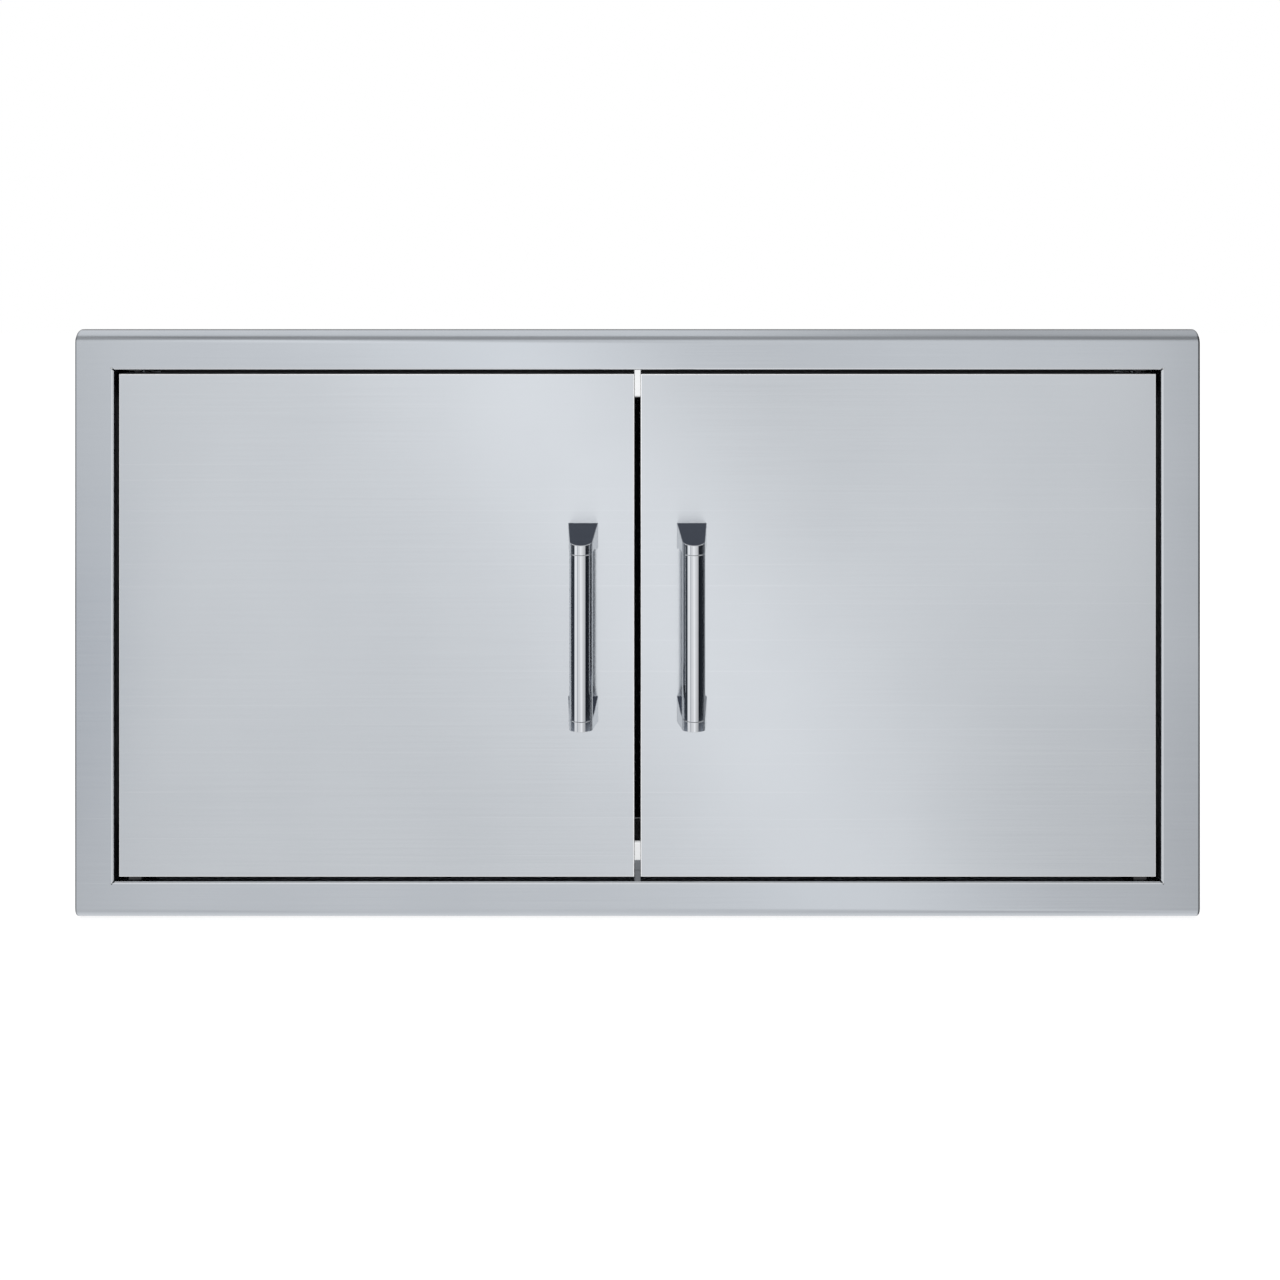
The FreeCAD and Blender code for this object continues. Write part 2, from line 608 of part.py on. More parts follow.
# Sprung upper hinge pin inside each door
def make_pin_bracket():
    """Angle on the skin's back whose ear guides the pin and carries the spring."""
    half = BRACKET_SHEET / 2
    web = FACE_Y + DOOR_SHEET + half
    rear = LINER_BACK_Y - DOOR_SHEET - BRACKET_PLAY
    ear = BRACKET_LOW_Z + half
    section = [(web, BRACKET_LOW_Z + BRACKET_HEIGHT), (web, ear), (rear, ear)]
    bracket = folded_sheet(section, BRACKET_SHEET, BRACKET_INSIDE_BEND, BRACKET_WIDTH)
    bracket = laid_along_x(bracket, PIVOT.x - BRACKET_WIDTH / 2)
    return bracket.cut(rod(PIN_RADIUS + PIN_FIT, PIVOT + UP * (BRACKET_LOW_Z - 1), UP, 2 * BRACKET_SHEET + 1))


def make_pivot_pin():
    """Sliding pin that stands up into the header's bush."""
    low, high = BRACKET_LOW_Z - PIN_TAIL, TOP_Z + STACK
    pin = rod(PIN_RADIUS, PIVOT + UP * low, UP, high - low)
    return pin.makeChamfer(PIN_TIP, [edge for edge in pin.Edges if edge.BoundBox.ZMin > high - 1e-3])


def make_release_tab():
    """Tab fixed on the pin, which comes out through the liner to a finger pad."""
    half, low, high = TAB_WIDTH / 2, TAB_Z - TAB_SHEET / 2, TAB_Z + TAB_SHEET / 2
    root = box(PIVOT.x - half, PIVOT.x + half, PIVOT.y - half, PIVOT.y + half, low, high)
    end = DOOR_BACK_Y + TAB_REACH
    neck = box(PIVOT.x - TAB_NECK / 2, PIVOT.x + TAB_NECK / 2, PIVOT.y, end, low, high)
    pad = box(PIVOT.x - half, PIVOT.x + half, end - TAB_PAD, end,
              TAB_Z - TAB_PAD_HEIGHT / 2, TAB_Z + TAB_PAD_HEIGHT / 2)
    tab = root.fuse([neck, pad]).cut(rod(PIN_RADIUS, V(PIVOT.x, PIVOT.y, low), UP, TAB_SHEET))
    return tab.removeSplitter()


def make_pin_spring():
    """Outer shape of the coil spring between the lower ear and the tab."""
    inner = PIN_RADIUS + SPRING_PLAY
    low = PIVOT + UP * (BRACKET_LOW_Z + BRACKET_SHEET)
    return ring(inner + SPRING_WALL, inner, low, UP, SPRING_LENGTH - SHEET_PLAY)


def make_lower_bush():
    """Bush in the door's bottom edge, whose thick flange carries the door on the sill."""
    return flanged_bush(PIVOT + UP * (DOOR_BOTTOM_Z + BUSH_LENGTH), BUSH_LENGTH, BOTTOM_GAP - BUSH_PLAY)


SINGLE_PIECES = {
    "face_frame": make_face_frame,
    "header_jamb": make_header_jamb,
    "sill_jamb": make_sill_jamb,
    "stop_rail_top": make_top_stop_rail,
    "stop_rail_bottom": make_stop_rail,
    "door_bumpers": make_bumpers,
    "lower_pivot_pins": make_lower_pins,
}

HANDED_PIECES = {
    "side_jamb": make_side_jamb,
    "upper_pivot_bush": make_upper_bush,
    "catch_body": make_catch_body,
    "catch_poles": make_catch_poles,
    "catch_magnet": make_catch_magnet,
    "door_skin": make_door_skin,
    "door_liner": make_door_liner,
    "strike_plate": make_strike_plate,
    "handle_tube": make_handle_tube,
    "handle_mount_upper": make_upper_mount,
    "handle_mount_lower": make_lower_mount,
    "handle_screws": make_handle_screws,
    "pin_bracket": make_pin_bracket,
    "pin_spring": make_pin_spring,
    "lower_bush": make_lower_bush,
    "pivot_pin": make_pivot_pin,
    "release_tab": make_release_tab,
}

os.makedirs("parts", exist_ok=True)
for name, make in SINGLE_PIECES.items():
    make().exportStep(f"parts/{name}.step")
for name, make in HANDED_PIECES.items():
    piece = make()
    piece.exportStep(f"parts/{name}_left.step")
    mirrored(piece).exportStep(f"parts/{name}_right.step")
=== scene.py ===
import math

import bmesh
import bpy
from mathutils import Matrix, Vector


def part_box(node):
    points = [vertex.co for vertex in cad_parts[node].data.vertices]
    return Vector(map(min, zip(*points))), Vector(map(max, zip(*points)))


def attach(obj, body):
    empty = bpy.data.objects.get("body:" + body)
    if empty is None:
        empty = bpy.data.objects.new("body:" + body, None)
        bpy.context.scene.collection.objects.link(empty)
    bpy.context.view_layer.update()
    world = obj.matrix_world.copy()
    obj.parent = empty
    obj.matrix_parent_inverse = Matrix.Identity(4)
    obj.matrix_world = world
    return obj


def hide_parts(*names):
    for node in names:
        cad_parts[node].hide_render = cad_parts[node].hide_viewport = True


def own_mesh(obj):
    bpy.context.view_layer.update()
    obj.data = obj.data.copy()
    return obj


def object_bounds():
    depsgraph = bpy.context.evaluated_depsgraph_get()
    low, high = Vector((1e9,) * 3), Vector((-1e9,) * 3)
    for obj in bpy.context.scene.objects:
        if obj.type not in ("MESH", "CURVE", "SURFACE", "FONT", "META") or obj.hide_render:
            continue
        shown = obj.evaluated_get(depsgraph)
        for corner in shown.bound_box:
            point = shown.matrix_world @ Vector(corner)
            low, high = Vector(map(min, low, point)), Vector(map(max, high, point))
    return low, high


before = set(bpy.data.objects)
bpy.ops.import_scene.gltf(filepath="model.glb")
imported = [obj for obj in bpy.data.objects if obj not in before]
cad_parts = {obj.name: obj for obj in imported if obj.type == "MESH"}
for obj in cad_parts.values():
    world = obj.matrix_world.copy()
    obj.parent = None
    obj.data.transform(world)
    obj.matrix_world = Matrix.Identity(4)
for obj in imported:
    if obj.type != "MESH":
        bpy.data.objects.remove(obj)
cad_low, cad_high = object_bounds()

# Face frame: one sheet of brushed stainless steel, 1.2 mm thick. Its top and bottom edges are
# rolled back over a wide bar, its sides are bent tight, and slits at the corners of the opening
# let the four inner returns fold.
MM = 0.001


def node(tree, kind, inputs=None, **settings):
    """Adds a node; an input is a plain value or another node's output."""
    known = kind.startswith(("GeometryNode", "FunctionNode"))
    made = tree.nodes.new(kind if known else "ShaderNode" + kind)
    for name, value in settings.items():
        setattr(made, name, value)
    for socket, value in (inputs or {}).items():
        if isinstance(value, bpy.types.NodeSocket):
            tree.links.new(value, made.inputs[socket])
        else:
            made.inputs[socket].default_value = value
    return made


def maths(tree, operation, *values):
    """One Math node and its result."""
    return node(tree, "Math", dict(enumerate(values)), operation=operation).outputs[0]


def spread(tree, value, low, high):
    """Stretches a mask from 0..1 to a range."""
    return node(tree, "MapRange", {"Value": value, "To Min": low, "To Max": high}).outputs["Result"]


def step_between(tree, value, low, high):
    """Soft step that is 0 below one value and 1 above another."""
    return node(tree, "MapRange", {"Value": value, "From Min": low, "From Max": high},
                interpolation_type="SMOOTHSTEP").outputs["Result"]


def blend_colours(tree, mask, first, second):
    """Colour between two others, by a mask."""
    colours = [(*colour, 1) if isinstance(colour, tuple) else colour for colour in (first, second)]
    return node(tree, "Mix", {0: mask, 6: colours[0], 7: colours[1]}, data_type="RGBA").outputs[2]


def noise(tree, place, scale, detail=2.0):
    """Noise value at a place."""
    return node(tree, "TexNoise", {"Vector": place, "Scale": scale, "Detail": detail}).outputs["Fac"]


def stretched(tree, place, by):
    """A place multiplied along each axis."""
    return node(tree, "VectorMath", {0: place, 1: by}, operation="MULTIPLY").outputs[0]


def mixed(tree, first, share, second):
    """A share of one mask and the rest of another, added up."""
    return maths(tree, "MULTIPLY_ADD", first, share, maths(tree, "MULTIPLY", second, 1.0 - share))


def effect_group(name, inputs, outputs):
    """Empty shader group with named inputs and outputs, and its two end nodes."""
    tree = bpy.data.node_groups.new(name, "ShaderNodeTree")
    for socket, (kind, value) in inputs.items():
        made = tree.interface.new_socket(socket, in_out="INPUT", socket_type="NodeSocket" + kind)
        made.default_value = value
    for socket in outputs:
        tree.interface.new_socket(socket, in_out="OUTPUT", socket_type="NodeSocketFloat")
    return tree, tree.nodes.new("NodeGroupInput").outputs, tree.nodes.new("NodeGroupOutput").inputs


NOISE_RANGE = (0.3, 0.7)
RARE_RANGE = (0.72, 0.76)
BROKEN_RANGE = (0.5, 0.56)
BROAD_LINES, SCRATCH_LINES, SCRATCH_BREAKS = 0.22, 0.8, 0.45
BROAD_SHARE = 0.3


def make_sheet_grain():
    """Grain of a rolled or brushed sheet: fine lines, broad clouds and short straight scratches."""
    tree, given, result = effect_group(
        "sheet grain",
        {"Across": ("Vector", (1.0, 1.0, 1.0)), "Lines": ("Float", 1400.0), "Clouds": ("Float", 7.0)},
        ("Line", "Cloud", "Scratch"))
    place = node(tree, "TexCoord").outputs["Object"]
    along = stretched(tree, place, given["Across"])
    straight = stretched(tree, along, given["Across"])
    fine = noise(tree, along, given["Lines"], detail=5.0)
    broad = noise(tree, along, maths(tree, "MULTIPLY", given["Lines"], BROAD_LINES))
    line = mixed(tree, broad, BROAD_SHARE, fine)
    tree.links.new(step_between(tree, line, *NOISE_RANGE), result["Line"])
    cloud = noise(tree, place, given["Clouds"], detail=3.0)
    tree.links.new(step_between(tree, cloud, *NOISE_RANGE), result["Cloud"])
    hairline = noise(tree, straight, maths(tree, "MULTIPLY", given["Lines"], SCRATCH_LINES), detail=0.0)
    length = noise(tree, along, maths(tree, "MULTIPLY", given["Lines"], SCRATCH_BREAKS), detail=0.0)
    scratch = maths(tree, "MULTIPLY", step_between(tree, hairline, *RARE_RANGE),
                    step_between(tree, length, *BROKEN_RANGE))
    tree.links.new(scratch, result["Scratch"])
    return tree


EDGE_MASK_RANGE = (0.02, 0.2)


def make_edge_wear_and_highlight():
    """Mask of the outer edges: grained pieces are worn there, and sheet steel gets a painted highlight
    there.
    """
    tree, given, result = effect_group("edge wear and highlight", {"Width": ("Float", 0.5 * MM)}, ("Edge",))
    rounded = node(tree, "Bevel", {"Radius": given["Width"]}, samples=4).outputs[0]
    flat = node(tree, "NewGeometry").outputs["Normal"]
    facing = node(tree, "VectorMath", {0: rounded, 1: flat}, operation="DOT_PRODUCT").outputs["Value"]
    tree.links.new(step_between(tree, maths(tree, "SUBTRACT", 1.0, facing), *EDGE_MASK_RANGE), result["Edge"])
    return tree


SHEET_GRAIN = make_sheet_grain()
EDGE_WEAR_AND_HIGHLIGHT = make_edge_wear_and_highlight()


def new_finish(name):
    """Material with its node tree and its Principled shader."""
    made = bpy.data.materials.new(name)
    made.use_nodes = True
    return made, made.node_tree, made.node_tree.nodes["Principled BSDF"]


def place_group(tree, group, inputs=None):
    """Puts an effect into a material with its own values."""
    placed = tree.nodes.new("ShaderNodeGroup")
    placed.node_tree = group
    for socket, value in (inputs or {}).items():
        placed.inputs[socket].default_value = value
    return placed.outputs


def painted_shade_mask(tree, bands):
    """Where shade is painted on a sheet: each band has its amount and the steps that bound it, as an
    axis with two places on it. Axes |x| and |z| count from the middle to both sides."""
    place = node(tree, "SeparateXYZ", {0: node(tree, "TexCoord").outputs["Object"]}).outputs
    along = {"x": place[0], "y": place[1], "z": place[2], "|x|": maths(tree, "ABSOLUTE", place[0]),
             "|z|": maths(tree, "ABSOLUTE", place[2])}
    mask = 0.0
    for shade, *steps in bands:
        for axis, low, high in steps:
            shade = maths(tree, "MULTIPLY", step_between(tree, along[axis], low, high), shade)
        mask = maths(tree, "MAXIMUM", mask, shade)
    return mask


PAINTED_HIGHLIGHT_STEEL = (0.96, 0.97, 0.98)
SCRATCHED_STEEL = (0.9, 0.91, 0.92)
PAINTED_SHADE_STEEL = (0.03, 0.03, 0.035)
CLOUD_SHARE, EDGE_HIGHLIGHT_SHARE, SCRATCH_SHARE = 0.45, 0.3, 0.12
SCRATCH_DEPTH = 0.6
GRAIN_DEPTH = 0.02 * MM
DEEP_PAINTED_SHADE = (0.6, 0.8)
DULL_ROUGHNESS = 0.6
GRAIN_WAY = {0: 1.0, 1: 0.02, 2: 0.01}
ACROSS_TANGENT = 0.25


def sheet_finish(name, dark, light, rough, across, lines, bump, streak=0.0, painted_bend_highlight=0.0, bands=()):
    """Stainless sheet: colour and gloss follow the grain; bends and edges get a painted highlight, and
    bands get painted shade.
    """
    made, tree, shader = new_finish(name)
    grain = place_group(tree, SHEET_GRAIN, {"Across": across, "Lines": lines})
    edge = place_group(tree, EDGE_WEAR_AND_HIGHLIGHT)["Edge"]
    base = blend_colours(tree, mixed(tree, grain["Cloud"], CLOUD_SHARE, grain["Line"]), dark, light)
    bend = node(tree, "Attribute", attribute_name="bend").outputs["Fac"]
    # Painted highlight: bends and outer edges are made paler, like steel catching light there.
    painted_highlight = maths(tree, "MAXIMUM", maths(tree, "MULTIPLY", bend, painted_bend_highlight),
                   maths(tree, "MULTIPLY", edge, EDGE_HIGHLIGHT_SHARE))
    base = blend_colours(tree, painted_highlight, base, PAINTED_HIGHLIGHT_STEEL)
    scratched = maths(tree, "MULTIPLY", grain["Scratch"], SCRATCH_SHARE)
    base = blend_colours(tree, scratched, base, SCRATCHED_STEEL)
    gloss = spread(tree, grain["Line"], *rough)
    if bands:
        # Painted shade: the bands darken the colour towards near black and roughen it where they are
        # deepest.
        painted_shade = painted_shade_mask(tree, bands)
        base = blend_colours(tree, painted_shade, base, PAINTED_SHADE_STEEL)
        gloss = maths(tree, "MULTIPLY_ADD", step_between(tree, painted_shade, *DEEP_PAINTED_SHADE), DULL_ROUGHNESS, gloss)
    tree.links.new(base, shader.inputs["Base Color"])
    tree.links.new(gloss, shader.inputs["Roughness"])
    scratches = maths(tree, "MULTIPLY", grain["Scratch"], SCRATCH_DEPTH)
    height = maths(tree, "SUBTRACT", grain["Line"], scratches)
    relief = node(tree, "Bump", {"Strength": bump, "Distance": GRAIN_DEPTH, "Height": height})
    tree.links.new(relief.outputs[0], shader.inputs["Normal"])
    shader.inputs["Metallic"].default_value = 1.0
    if streak:
        shader.inputs["Anisotropic"].default_value = streak
        shader.inputs["Anisotropic Rotation"].default_value = ACROSS_TANGENT
        turned = node(tree, "VectorTransform", {0: node(tree, "CombineXYZ", GRAIN_WAY).outputs[0]},
                      vector_type="VECTOR", convert_from="OBJECT", convert_to="WORLD").outputs[0]
        tree.links.new(turned, shader.inputs["Tangent"])
    return made


def show(mesh, name, finish, body, slot, *replaced):
    """Puts a finished mesh in the scene as a piece of one body."""
    piece = bpy.data.objects.new(name, mesh)
    bpy.context.scene.collection.objects.link(piece)
    mesh.materials.clear()
    mesh.materials.append(finish)
    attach(piece, body)
    if replaced:
        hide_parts(*replaced)
    return piece


SHARP_OVER = math.radians(38)


def soften(piece, edge):
    """Rounds the sharp edges of a piece by a width and keeps its flats flat."""
    bevel = piece.modifiers.new("edge", "BEVEL")
    bevel.width = edge
    bevel.segments = 2
    bevel.limit_method = "ANGLE"
    bevel.angle_limit = SHARP_OVER
    bevel.harden_normals = True
    bevel.use_clamp_overlap = True
    flats = piece.modifiers.new("flats", "WEIGHTED_NORMAL")
    flats.keep_sharp = True


MERGED_UNDER = 0.002 * MM
FLAT_UNDER = math.radians(0.3)
BENT_OVER = math.radians(2)
SMOOTH_UNDER = math.radians(30)
BEND_STRIP = 0.9 * MM


def clean_copy(node_name):
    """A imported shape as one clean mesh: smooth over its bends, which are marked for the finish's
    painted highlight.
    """
    shape = bmesh.new()
    shape.from_mesh(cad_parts[node_name].data)
    bmesh.ops.remove_doubles(shape, verts=shape.verts, dist=MERGED_UNDER)
    bmesh.ops.dissolve_limit(shape, angle_limit=FLAT_UNDER, verts=shape.verts, edges=shape.edges)
    bend = shape.faces.layers.float.new("bend")
    for edge in shape.edges:
        edge.smooth = edge.calc_face_angle(0) < SMOOTH_UNDER
    for face in shape.faces:
        face.smooth = True
        narrow = 2 * face.calc_area() / face.calc_perimeter() < BEND_STRIP
        curved = any(edge.smooth and edge.calc_face_angle(0) > BENT_OVER for edge in face.edges)
        face[bend] = float(narrow and curved)
    mesh = bpy.data.meshes.new(node_name + "_mesh")
    shape.to_mesh(mesh)
    shape.free()
    return mesh


face_low, face_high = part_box("face_frame")
FACE_Y = face_low.y
SHEET = 1.2 * MM
OUTER_WALL, WALL_FADE = 20 * MM, 5 * MM
SILL_RETURN, SILL_FADE = -242.2 * MM, 1 * MM

# Painted shade darkens the returns of the opening, where the gaps are dark, and the outer side bends
# and the backs of the rolls; the tight bends also get a faint painted highlight.
inner_returns = (("y", FACE_Y + 1.0 * MM, FACE_Y + 2.4 * MM),
                 ("|x|", face_high.x - OUTER_WALL, face_high.x - OUTER_WALL - WALL_FADE),
                 ("|z|", face_high.z - OUTER_WALL, face_high.z - OUTER_WALL - WALL_FADE))
shaded_returns = (0.92, *inner_returns, ("z", SILL_RETURN, SILL_RETURN + SILL_FADE))
sill_return = (0.45, *inner_returns, ("z", SILL_RETURN + SILL_FADE, SILL_RETURN))
side_bends = (0.58, ("|x|", face_high.x - 2 * SHEET, face_high.x - 0.8 * SHEET))
right_bend = (("x", face_high.x - 2.1 * SHEET, face_high.x - 1.2 * SHEET),
              ("y", FACE_Y + 2.4 * MM, FACE_Y + 1.6 * MM))
right_bend_low = (0.78, *right_bend)
right_bend_high = (0.96, *right_bend, ("z", -140 * MM, 20 * MM))
roll_back = (0.58, ("|z|", face_high.z - SHEET, face_high.z - 0.3 * MM))
frame_steel = sheet_finish(
    "brushed face steel", dark=(0.515, 0.545, 0.585), light=(0.55, 0.58, 0.62), rough=(0.15, 0.20),
    across=(0.003, 1.0, 1.0), lines=2000.0, bump=0.05, streak=0.75, painted_bend_highlight=0.25,
    bands=(shaded_returns, sill_return, side_bends, right_bend_low, right_bend_high, roll_back))
face_frame = show(clean_copy("face_frame"), "face_frame_sheet", frame_steel, "frame", "brushed_frame",
                  "face_frame")
soften(face_frame, edge=0.12 * MM)

# Jambs: four folded channels of plain mill-finish sheet behind the returns of the opening.
# The header and the sill run the whole width, and the side jambs stand between them.
level_steel = sheet_finish(
    "mill finish header", dark=(0.60, 0.62, 0.64), light=(0.68, 0.70, 0.72), rough=(0.20, 0.30),
    across=(0.006, 1.0, 1.0), lines=1100.0, bump=0.05)
# The side jambs take a darker copy of the mill finish: painted shade, which keeps the side gaps dark.
upright_steel = sheet_finish(
    "mill finish upright with painted shade", dark=(0.48, 0.50, 0.52), light=(0.57, 0.59, 0.61), rough=(0.26, 0.36),
    across=(1.0, 1.0, 0.006), lines=1100.0, bump=0.05)


def show_channel(name, finish):
    """Shows one folded channel of the frame."""
    channel = show(clean_copy(name), name + "_channel", finish, "frame", "folded_sheet", name)
    soften(channel, edge=0.1 * MM)


for name in ("header_jamb", "sill_jamb"):
    show_channel(name, level_steel)
for name in ("side_jamb_left", "side_jamb_right"):
    show_channel(name, upright_steel)

# Stop rails: bright annealed channels under the header and on the sill. The doors close against
# their front walls, which shine through the centre gap. Painted shade darkens the top rail's upper
# edge, where the top gap is dark.
painted_gap_shade = (0.94, ("z", 235.6 * MM, 236.4 * MM), ("|x|", 3.0 * MM, 4.0 * MM))
# The rails' pale colour is partly painted light: bright annealed steel, made paler so the front walls
# look white in the centre gap.
rail_steel = sheet_finish(
    "bright annealed rail with painted light", dark=(0.80, 0.81, 0.82), light=(0.88, 0.89, 0.90), rough=(0.05, 0.10),
    across=(0.02, 1.0, 1.0), lines=700.0, bump=0.03, bands=(painted_gap_shade,))
for name in ("stop_rail_top", "stop_rail_bottom"):
    show_channel(name, rail_steel)


# Spot welds: the jambs' front flanges are welded to the back of the face sheet in a ring.
# Each weld leaves a shallow round print with a raised rim and straw and brown heat colours.
def geometry_tree(name, inputs):
    """Empty geometry tree with named inputs, its input sockets and its end node."""
    tree = bpy.data.node_groups.new(name, "GeometryNodeTree")
    tree.interface.new_socket("Points", in_out="INPUT", socket_type="NodeSocketGeometry")
    for socket, kind in inputs.items():
        tree.interface.new_socket(socket, in_out="INPUT", socket_type="NodeSocket" + kind)
    tree.interface.new_socket("Shape", in_out="OUTPUT", socket_type="NodeSocketGeometry")
    return tree, tree.nodes.new("NodeGroupInput").outputs, tree.nodes.new("NodeGroupOutput").inputs[0]


def finish_tree(tree, shape, finish, result):
    """Ends a geometry tree: plain mesh with smooth faces and its material."""
    plain = node(tree, "GeometryNodeRealizeInstances", {0: shape}).outputs[0]
    smooth = node(tree, "GeometryNodeSetShadeSmooth", {0: plain, 2: True}).outputs[0]
    coloured = node(tree, "GeometryNodeSetMaterial", {0: smooth, "Material": finish}).outputs[0]
    tree.links.new(coloured, result)


def moved(tree, shape, place=(0, 0, 0), turn=(0, 0, 0), size=(1, 1, 1)):
    """Turns, scales and moves a shape inside a geometry tree."""
    return node(tree, "GeometryNodeTransform", {0: shape, "Translation": place, "Rotation": turn,
                                                "Scale": size}).outputs[0]


def grown_mesh(tree, sizes, points=((0, 0, 0),)):
    """Runs a geometry tree on a few points with its sizes, and returns the plain mesh."""
    seeds = bpy.data.meshes.new("seeds")
    seeds.from_pydata([Vector(point) for point in points], [], [])
    holder = bpy.data.objects.new("holder", seeds)
    bpy.context.scene.collection.objects.link(holder)
    grower = holder.modifiers.new("grower", "NODES")
    grower.node_group = tree
    for socket in tree.interface.items_tree:
        if socket.in_out == "INPUT" and socket.name in sizes:
            grower[socket.identifier] = sizes[socket.name]
    ready = holder.evaluated_get(bpy.context.evaluated_depsgraph_get())
    mesh = bpy.data.meshes.new_from_object(ready)
    bpy.data.objects.remove(holder)
    return mesh


QUARTER = math.pi / 2
PRINT_SIDES, RIM_SIDES = 20, 6


def make_weld_ring():
    """Spot welds at even steps round an upright rectangle."""
    tree, given, result = geometry_tree(
        "weld ring", {"Middle": "Vector", "Width": "Float", "Height": "Float", "Step": "Float",
                      "Radius": "Float", "Rise": "Float", "Finish": "Material"})
    path = node(tree, "GeometryNodeCurvePrimitiveQuadrilateral",
                {"Width": given["Width"], "Height": given["Height"]}).outputs[0]
    upright = moved(tree, path, given["Middle"], (QUARTER, 0, 0))
    spots = node(tree, "GeometryNodeResampleCurve", {"Curve": upright, "Length": given["Step"]},
                 mode="LENGTH")
    spots = node(tree, "GeometryNodeCurveToPoints", {0: spots.outputs[0]}, mode="EVALUATED").outputs[0]
    circle = node(tree, "GeometryNodeCurvePrimitiveCircle",
                  {"Resolution": PRINT_SIDES, "Radius": given["Radius"]})
    bead = node(tree, "GeometryNodeCurvePrimitiveCircle",
                {"Resolution": RIM_SIDES, "Radius": given["Rise"]})
    rim = node(tree, "GeometryNodeCurveToMesh", {0: circle.outputs[0], 1: bead.outputs[0]}).outputs[0]
    print_disc = node(tree, "GeometryNodeMeshCylinder",
                      {"Vertices": PRINT_SIDES, "Radius": given["Radius"], "Depth": given["Rise"]},
                      fill_type="NGON")
    both = node(tree, "GeometryNodeJoinGeometry").inputs[0]
    tree.links.new(rim, both)
    tree.links.new(print_disc.outputs[0], both)
    mark = both.node.outputs[0]
    place = node(tree, "GeometryNodeInputPosition").outputs[0]
    radius = node(tree, "VectorMath", {0: place}, operation="LENGTH").outputs["Value"]
    reach = maths(tree, "DIVIDE", radius, given["Radius"])
    mark = node(tree, "GeometryNodeStoreNamedAttribute", {0: mark, "Name": "reach", "Value": reach},
                data_type="FLOAT", domain="POINT").outputs[0]
    mark = moved(tree, mark, turn=(QUARTER, 0, 0))
    ring = node(tree, "GeometryNodeInstanceOnPoints", {"Points": spots, "Instance": mark}).outputs[0]
    finish_tree(tree, ring, given["Finish"], result)
    return tree


BARE_METAL, STRAW, BROWN = (0.55, 0.56, 0.57), (0.52, 0.43, 0.29), (0.30, 0.23, 0.20)
STRAW_RING, BROWN_RING = (0.3, 0.75), (0.75, 1.1)
UNEVEN = 0.5


def weld_finish():
    """Heat colours of a spot weld: bare in the middle, straw and brown at the rim."""
    made, tree, shader = new_finish("heat tinted weld")
    reach = node(tree, "Attribute", attribute_name="reach").outputs["Fac"]
    place = node(tree, "TexCoord").outputs["Object"]
    uneven = maths(tree, "MULTIPLY_ADD", noise(tree, place, 400.0), UNEVEN,
                   maths(tree, "SUBTRACT", reach, UNEVEN / 2))
    straw = blend_colours(tree, step_between(tree, uneven, *STRAW_RING), BARE_METAL, STRAW)
    brown = blend_colours(tree, step_between(tree, uneven, *BROWN_RING), straw, BROWN)
    tree.links.new(brown, shader.inputs["Base Color"])
    tree.links.new(spread(tree, noise(tree, place, 900.0), 0.25, 0.45), shader.inputs["Roughness"])
    shader.inputs["Metallic"].default_value = 1.0
    return made


WELD_RING = make_weld_ring()
heat_tint = weld_finish()
WELD_STEP, WELD_RADIUS, WELD_RISE = 62 * MM, 2.4 * MM, 0.12 * MM
FLANGE_MIDDLE = 11.0 * MM
ring_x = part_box("sill_jamb")[1].x + FLANGE_MIDDLE - SHEET
ring_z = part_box("side_jamb_left")[1].z + FLANGE_MIDDLE
frame_welds = grown_mesh(WELD_RING, {
    "Middle": (0, FACE_Y + 2 * SHEET, 0), "Width": 2 * ring_x, "Height": 2 * ring_z,
    "Step": WELD_STEP, "Radius": WELD_RADIUS, "Rise": WELD_RISE, "Finish": heat_tint})
show(frame_welds, "jamb_weld_prints", heat_tint, "frame", "folded_sheet")


# Hinge bearings of the frame: flanged bushes of black nylon are pressed into square holes in the
# header, and turned steel studs are welded upright on the lower return.
def make_skin_grit():
    """Surface of a moulded, cast, pressed or plated piece: broad mottle and fine grit."""
    tree, given, result = effect_group(
        "skin grit", {"Mottle Size": ("Float", 120.0), "Grit Size": ("Float", 2500.0)},
        ("Mottle", "Grit"))
    place = node(tree, "TexCoord").outputs["Object"]
    mottle = noise(tree, place, given["Mottle Size"], detail=4.0)
    tree.links.new(step_between(tree, mottle, *NOISE_RANGE), result["Mottle"])
    tree.links.new(noise(tree, place, given["Grit Size"], detail=3.0), result["Grit"])
    return tree


SKIN_GRIT = make_skin_grit()
WORN_EDGE, WORN_SHARE = 0.4 * MM, 0.5
GRIT_DEPTH = 0.05 * MM


def grained_finish(name, dark, light, worn, rough, grit, bump, metal=0.0):
    """Piece with an even skin: mottled colour, grit in its gloss and worn edges."""
    made, tree, shader = new_finish(name)
    skin = place_group(tree, SKIN_GRIT, {"Grit Size": grit})
    edge = place_group(tree, EDGE_WEAR_AND_HIGHLIGHT, {"Width": WORN_EDGE})["Edge"]
    base = blend_colours(tree, skin["Mottle"], dark, light)
    base = blend_colours(tree, maths(tree, "MULTIPLY", edge, WORN_SHARE), base, worn)
    tree.links.new(base, shader.inputs["Base Color"])
    tree.links.new(spread(tree, skin["Grit"], *rough), shader.inputs["Roughness"])
    relief = node(tree, "Bump", {"Strength": bump, "Distance": GRIT_DEPTH, "Height": skin["Grit"]})
    tree.links.new(relief.outputs[0], shader.inputs["Normal"])
    shader.inputs["Metallic"].default_value = metal
    return made


def show_packed(name, finish, body, slot, edge):
    """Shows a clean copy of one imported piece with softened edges."""
    soften(show(clean_copy(name), name + "_piece", finish, body, slot, name), edge)


